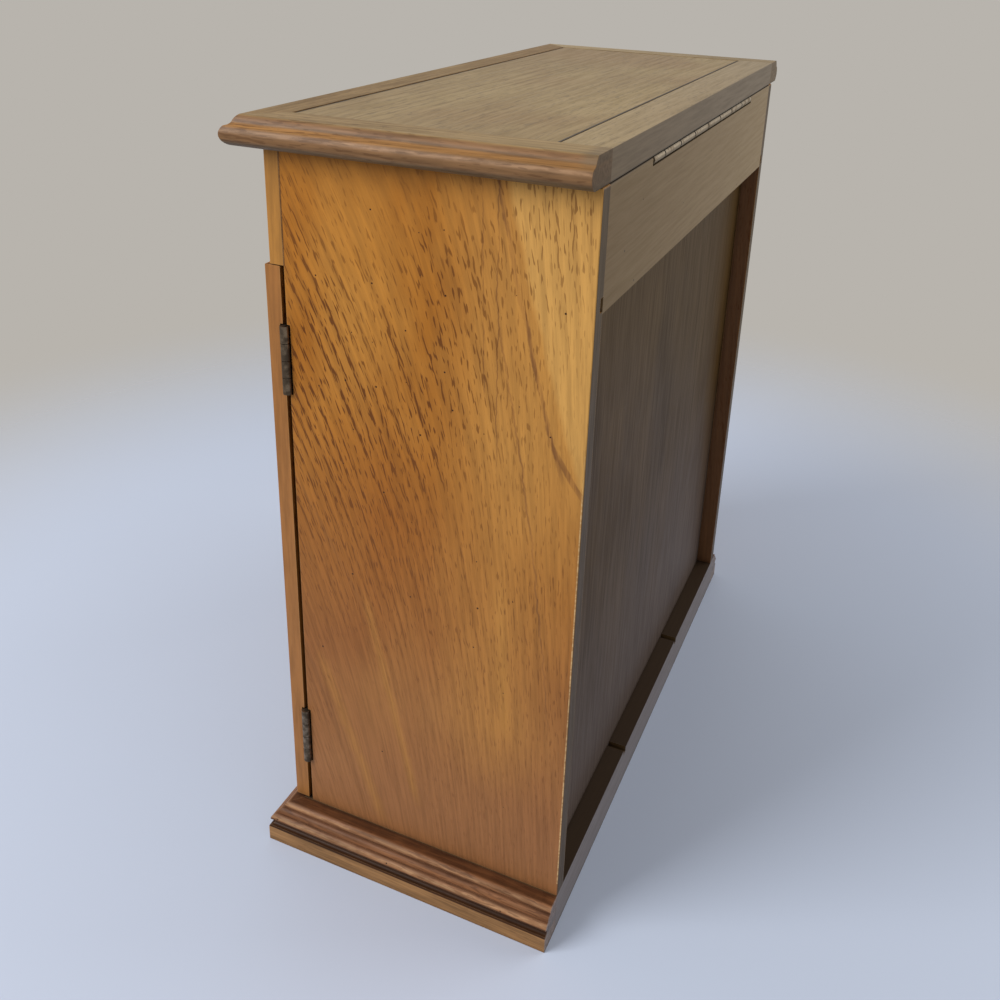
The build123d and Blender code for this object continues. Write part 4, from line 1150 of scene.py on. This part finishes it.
@dataclass
class Fittings:
    """Hinges, their screws, the knobs, the pegs and the catches."""

    effects: Effects
    lid_screws: int = 7
    lid_screw_reach: float = 84 * MM
    leaf_thick: float = 0.9 * MM
    barrel_radius: float = 1.9 * MM
    knuckle_pitch: float = 25.4 * MM
    knuckle_gap: float = 0.7 * MM
    gap_shade: float = 0.35 * MM
    outline: float = 0.45 * MM
    # The shade painted round the long hinge's knuckles.
    knuckle_shade: Colour = (0.02, 0.012, 0.007)
    lid_leaf_width: float = 5.9 * MM
    lid_leaf_clear: float = 2.2 * MM
    door_leaf_clear: float = 2.6 * MM
    door_hinge_inset: float = 42.5 * MM
    door_screw_offset: float = 10 * MM
    door_screw: Span = mm(1.5, 0.1)  # its radius and how far it stands proud
    leaf_gap: float = 0.4 * MM
    door_wood: float = 7.8 * MM
    drawer_wood: float = 8.0 * MM

    def build(self) -> None:
        """Dresses the fittings and makes the knobs and screws."""
        hinge, dark = HINGE_BRASS.material(self.effects), DARK_BRASS.material(self.effects)
        # The long hinge's knuckles, with shade painted round them.
        knuckles = HINGE_BRASS.material(self.effects, "_knuckles", self.knuckle_shade_zones())
        dress(knuckles, "lid_hinge_lid_leaf lid_hinge_case_leaf")
        dress(DARK_BRASS.material(self.effects, "_pin"), "lid_hinge_pin")
        dress(dark, "case_hinge_leaves left_door_hinge_leaves right_door_hinge_leaves door_hinge_pins")
        dress(STEEL.material(self.effects), "door_catches")
        brass = KNOB_BRASS.material(self.effects)
        dress(brass, "necklace_pegs")
        for side in SIDES:
            Knob(f"{side}_door_knob", f"{side}_door", self.door_wood).build(brass)
        for number in range(1, DRAWERS + 1):
            Knob(f"drawer_{number}_knob", f"drawer_{number}", self.drawer_wood).build(brass)
        self.build_lid_screws(hinge)
        self.build_door_screws(dark)

    def knuckle_shade_zones(self) -> tuple[Zone, ...]:
        """Returns the shade painted round the long hinge's knuckles: above, below and between them."""
        axis = joint_place("lid_hinge")
        low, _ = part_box("lid_hinge_case_leaf")
        behind = (axis.y - self.barrel_radius, FAR)
        gap = (low.x - self.knuckle_gap - self.gap_shade, low.x + self.gap_shade)
        edge = self.barrel_radius - self.outline
        return (
            Zone(self.knuckle_shade, pitch=self.knuckle_pitch, x=gap, y=behind),
            Zone(self.knuckle_shade, y=behind, z=(0.0, axis.z - edge)),
            Zone(self.knuckle_shade, y=behind, z=(axis.z + edge, FAR)),
        )

    def build_lid_screws(self, material: Material) -> None:
        """Makes the screws of the lid's long hinge, of its brass."""
        axis = joint_place("lid_hinge")
        middle = axis.y - self.lid_leaf_clear - self.lid_leaf_width / 2
        pitch = 2 * self.lid_screw_reach / (self.lid_screws - 1)
        across = [-self.lid_screw_reach + pitch * index for index in range(self.lid_screws)]
        for node, body, up in (("lid_hinge_case_leaf", "case", 1), ("lid_hinge_lid_leaf", "lid", -1)):
            low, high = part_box(node)
            height = low.z + self.leaf_thick if up > 0 else high.z - self.leaf_thick
            places = [Vector((x, middle, height)) for x in across]
            Screws(f"{node}_screws", body, "brass", places, Vector((0, 0, up))).build(material)

    def build_door_screws(self, material: Material) -> None:
        """Makes the screws of the doors' hinges, on both leaves of each, of their brass."""
        for side, sign in SIDES.items():
            axis = joint_place(f"{side}_door_hinge")
            low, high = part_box(f"{side}_door_frame")
            leaf_low, leaf_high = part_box(f"{side}_door_hinge_leaves")
            inner = leaf_high.x if sign < 0 else leaf_low.x
            middle = (inner + axis.x - sign * self.door_leaf_clear) / 2
            hinges = (low.z + self.door_hinge_inset, high.z - self.door_hinge_inset)
            heights = [z + step * self.door_screw_offset for z in hinges for step in (-1, 1)]
            for part, body, facing in (("door", f"{side}_door", 1), ("case", "case", -1)):
                places = [Vector((middle, axis.y - facing * self.leaf_gap / 2, z)) for z in heights]
                row = Screws(f"{side}_{part}_screws", body, "aged_brass", places, Vector((0, facing, 0)))
                row.radius, row.proud = self.door_screw
                row.build(material)


@dataclass
class Doors:
    """The two glazed doors."""

    effects: Effects
    window: Span = mm(81.0, 140.0)
    edge_stain: Colour = (0.29, 0.12, 0.032)

    def build(self) -> None:
        """Dresses the doors' wood and glass."""
        edge = (Zone(self.edge_stain, calm=1.0, side=OUTER),)
        frames = HONEY_OAK.material(self.effects, Lay.UP_FRONT, "door", edge, rails=self.window)
        dress(frames, "left_door_frame right_door_frame")
        beads = INNER_WOOD.material(self.effects, Lay.UP_FRONT, "door_beading")
        dress(beads, "left_door_beading right_door_beading")
        dress(CLEAR_GLASS.material(self.effects), "left_door_glass right_door_glass")


@dataclass
class Drawers:
    """The four drawers' wood."""

    effects: Effects

    def build(self) -> None:
        """Dresses the drawers' fronts and boxes."""
        numbers = range(1, DRAWERS + 1)
        fronts = " ".join(f"drawer_{number}_front" for number in numbers)
        boxes = " ".join(f"drawer_{number}_box" for number in numbers)
        dress_boards(
            self.effects,
            (HONEY_OAK, Lay.ACROSS_FRONT, "drawer", (), fronts),
            (INNER_WOOD, Lay.DEEP_SIDE, "drawer", (), boxes),
        )


@dataclass
class Linings:
    """The velvet inside the till, the drawers and the bays, with the padded ring roll."""

    effects: Effects
    thick: float = 1.2 * MM
    corner: float = 1.6 * MM
    divider_thick: float = 4 * MM
    divider_round: float = 1.6 * MM
    bay_inner: float = 56.05 * MM
    bay_round: float = 0.6 * MM
    velvet: Material = field(init=False)

    def __post_init__(self) -> None:
        """Makes the velvet."""
        self.velvet = RED_VELVET.material(self.effects)

    def build(self) -> None:
        """Makes every lined piece."""
        self.build_tray("till_lining", "case")
        for number in range(1, DRAWERS + 1):
            self.build_tray(f"drawer_{number}_lining", f"drawer_{number}")
        low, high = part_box("till_dividers")
        spans = ((low.x, low.x + self.divider_thick), (high.x - self.divider_thick, high.x))
        self.build_pads("till_dividers", spans, self.divider_round)
        low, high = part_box("bay_linings")
        self.build_pads("bay_linings", ((low.x, -self.bay_inner), (self.bay_inner, high.x)), self.bay_round)
        RingRoll(self.velvet).build()

    def build_tray(self, node: str, body: str) -> None:
        """Makes an open tray of velvet with soft inner corners and a rolled rim.

        Args:
            node: The CAD lining that it stands for.
            body: The body that carries it.
        """
        low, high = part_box(node)
        wall = Vector((self.thick, self.thick, 0))
        inside = (low + wall, high - wall)
        builder = bmesh.new()
        loops = []
        for (start, end), level in (
            ((low, high), low.z),
            ((low, high), high.z),
            (inside, high.z),
            (inside, low.z + self.thick),
        ):
            corners = ((start.x, start.y), (end.x, start.y), (end.x, end.y), (start.x, end.y))
            loops.append([builder.verts.new((x, y, level)) for x, y in corners])
        join_rings(builder, loops)
        builder.faces.new(loops[0])
        builder.faces.new(loops[-1])
        inner = [edge for edge in builder.edges if all(vertex in loops[-1] for vertex in edge.verts)]
        inner += [edge for edge in builder.edges if edge.verts[0] in loops[2] and edge.verts[1] in loops[3]]
        soften(builder, inner, self.corner, 4)
        rim = [edge for edge in builder.edges if all(abs(v.co.z - high.z) < 1e-6 for v in edge.verts)]
        soften(builder, rim, self.thick * 0.4, 3)
        piece = new_piece(f"velvet_{node}", builder, body, self.velvet)
        piece.data.set_sharp_from_angle(angle=math.radians(60))
        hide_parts(node)

    def build_pads(self, node: str, spans: tuple[Span, ...], rounding: float) -> None:
        """Makes blocks whose upper edges are rounded, as cloth over a board is.

        Args:
            node: The CAD piece that they stand for.
            spans: Where each block starts and ends across the box.
            rounding: The radius of its upper edges.
        """
        low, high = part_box(node)
        builder = bmesh.new()
        for start, end in spans:
            foot, top = Vector((start, low.y, low.z)), Vector((end, high.y, high.z))
            size = Matrix.Diagonal((*(top - foot), 1.0))
            made = bmesh.ops.create_cube(builder, size=1.0, matrix=Matrix.Translation((foot + top) / 2) @ size)
            edges = {edge for vertex in made["verts"] for edge in vertex.link_edges}
            upper = [edge for edge in edges if max(vertex.co.z for vertex in edge.verts) > top.z - 1e-6]
            soften(builder, upper, rounding, 5)
        piece = new_piece(f"velvet_{node}", builder, "case", self.velvet)
        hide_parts(node)


@dataclass
class RingRoll:
    """Six padded rolls that hold rings between them."""

    velvet: Material
    node: str = "ring_roll"
    rolls: int = 6
    gap: float = 0.5 * MM
    rounds: int = 40
    lengths: int = 48
    end_round: float = 5 * MM
    pleat: float = 0.35 * MM
    swell: float = 0.45 * MM

    def build(self) -> None:
        """Makes the rolls in place of the CAD ones."""
        low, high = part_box(self.node)
        pitch = (high.y - low.y + self.gap) / self.rolls
        radius = (pitch - self.gap) / 2
        builder = bmesh.new()
        for index in range(self.rolls):
            middle = Vector((0.0, low.y + radius + index * pitch, high.z - radius))
            self.add_roll(builder, middle, radius, low, high)
        piece = new_piece("padded_ring_roll", builder, "case", self.velvet)
        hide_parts(self.node)

    def add_roll(self, builder: Builder, middle: Vector, radius: float, low: Vector, high: Vector) -> None:
        """Adds one roll with soft, pleated ends, flat where it rests.

        Args:
            builder: The mesh.
            middle: The roll's middle, of which only Y and Z count.
            radius: The roll's full radius.
            low: The lowest corner of the space that the rolls fill.
            high: Its highest corner.
        """
        rings = []
        for step in range(self.lengths + 1):
            share = step / self.lengths
            x = low.x + (high.x - low.x) * (0.5 - 0.5 * math.cos(math.pi * share))
            inset = min(x - low.x, high.x - x, self.end_round)
            drop = self.end_round - inset
            rounded = radius - self.end_round + math.sqrt(max(self.end_round**2 - drop**2, 0.0))
            if step in (0, self.lengths):
                rings.append([builder.verts.new((x, middle.y, middle.z))])
                continue
            ring = []
            for turn in range(self.rounds):
                angle = 2 * math.pi * turn / self.rounds
                puff = noise.noise(Vector((x * 60, middle.y * 90 + math.cos(angle), math.sin(angle))))
                pleat = self.pleat * (drop / self.end_round) * math.cos(10 * angle)
                size = rounded - self.swell * (0.5 + 0.5 * puff) - pleat * (rounded / radius)
                z = max(middle.z + size * math.sin(angle), low.z)
                ring.append(builder.verts.new((x, middle.y + size * math.cos(angle), z)))
            rings.append(ring)
        join_rings(builder, rings)


@dataclass
class Studio:
    """The pale floor, the soft light and the camera."""

    effects: Effects
    camera_place: Place = (0.5033, 0.19155, 0.4510)
    camera_azimuth: float = 113.13
    camera_height: float = 22.29
    camera_roll: float = 1.82
    focal_pixels: float = 1032.6
    image_middle: Span = (506.25, 351.2)
    image_size: float = 1000.0
    wall: Colour = (0.48, 0.455, 0.418)
    table: Colour = (0.515, 0.57, 0.69)
    sky: Colour = (0.97, 0.98, 1.0)
    sky_strength: float = 0.5
    floor_radius: float = 3.0
    floor_fade: Span = (0.36, 0.75)

    def build(self) -> None:
        """Makes the camera, the floor, the lamps and the world."""
        self.make_camera()
        self.make_floor()
        self.make_lamp("key", Vector((1.0, -0.85, 1.05)), 0.8, 20.0)
        self.make_lamp("fill", Vector((-0.9, 1.15, 0.8)), 1.0, 9.0)
        self.make_world()
        bpy.context.scene.view_settings.view_transform = "Standard"

    def make_camera(self) -> None:
        """Places the camera as the photograph's was, and makes it the scene's camera."""
        lens = bpy.data.cameras.new("camera")
        camera = add_object("camera", lens)
        azimuth, height = math.radians(self.camera_azimuth), math.radians(self.camera_height)
        flat = math.cos(height)
        back = Vector((math.sin(azimuth) * flat, -math.cos(azimuth) * flat, math.sin(height)))
        turned = (-back).to_track_quat("-Z", "Y").to_matrix().to_4x4()
        roll = Matrix.Rotation(math.radians(self.camera_roll), 4, "Z")
        camera.matrix_world = Matrix.Translation(self.camera_place) @ turned @ roll
        lens.lens = lens.sensor_width * self.focal_pixels / self.image_size
        half = self.image_size / 2
        lens.shift_x = (half - self.image_middle[0]) / self.image_size
        lens.shift_y = (self.image_middle[1] - half) / self.image_size
        lens.clip_start, lens.clip_end = 0.01, 30.0
        bpy.context.scene.camera = camera

    def make_floor(self) -> None:
        """Makes the pale floor, which fades into the wall's colour with distance."""
        builder = bmesh.new()
        bmesh.ops.create_circle(builder, cap_ends=True, segments=96, radius=self.floor_radius)
        floor = add_object("floor", finished_mesh("floor", builder))
        made = Surface(self.effects, "floor")
        distance = made.node("VectorMath", {0: made.place}, operation="LENGTH").outputs["Value"]
        inputs = {
            "Base Color": made.mix(made.noise(made.place, 3.0, 3.0), self.table, shade(self.table, 1.05)),
            "Roughness": 0.5,
            "Alpha": made.step(distance, *self.floor_fade, 1.0, 0.0),
        }
        floor.data.materials.append(made.finish(inputs))

    @staticmethod
    def make_lamp(name: str, place: Vector, size: float, power: float) -> None:
        """Makes a large soft lamp that shines on the box.

        Args:
            name: The lamp's name.
            place: Where it stands.
            size: The length of its sides.
            power: Its power.
        """
        data = bpy.data.lights.new(name, "AREA")
        data.size, data.energy = size, power
        aim = (Vector((0, 0, 0.2)) - place).to_track_quat("-Z", "Y")
        add_object(name, data).matrix_world = Matrix.Translation(place) @ aim.to_matrix().to_4x4()

    def make_world(self) -> None:
        """Makes the world: an even grey light, seen as a pale wall."""
        world = bpy.data.worlds.new("world")
        bpy.context.scene.world = world
        world.use_nodes = True
        tree = Tree(world.node_tree)
        light = world.node_tree.nodes["Background"]
        tree.feed(light.inputs["Color"], self.sky)
        tree.feed(light.inputs["Strength"], self.sky_strength)
        seen = tree.node("Background", {"Color": self.wall, "Strength": 1.0})
        path = tree.node("LightPath").outputs
        shown = tree.math("MAXIMUM", path["Is Glossy Ray"], path["Is Transmission Ray"])
        shown = tree.math("MAXIMUM", path["Is Camera Ray"], shown)
        mixed = tree.node("MixShader", {0: shown, 1: light.outputs[0], 2: seen.outputs[0]})
        tree.feed(world.node_tree.nodes["World Output"].inputs["Surface"], mixed.outputs[0])


def main() -> None:
    """Builds the box's looks and the studio round it."""
    logging.basicConfig(level=logging.INFO, format="%(message)s")
    effects = Effects()
    for part in (Case, Lid, Doors, Drawers, Fittings, Linings, Studio):
        log.info("%s", part.__name__)
        part(effects).build()


if __name__ == "__main__":
    main()
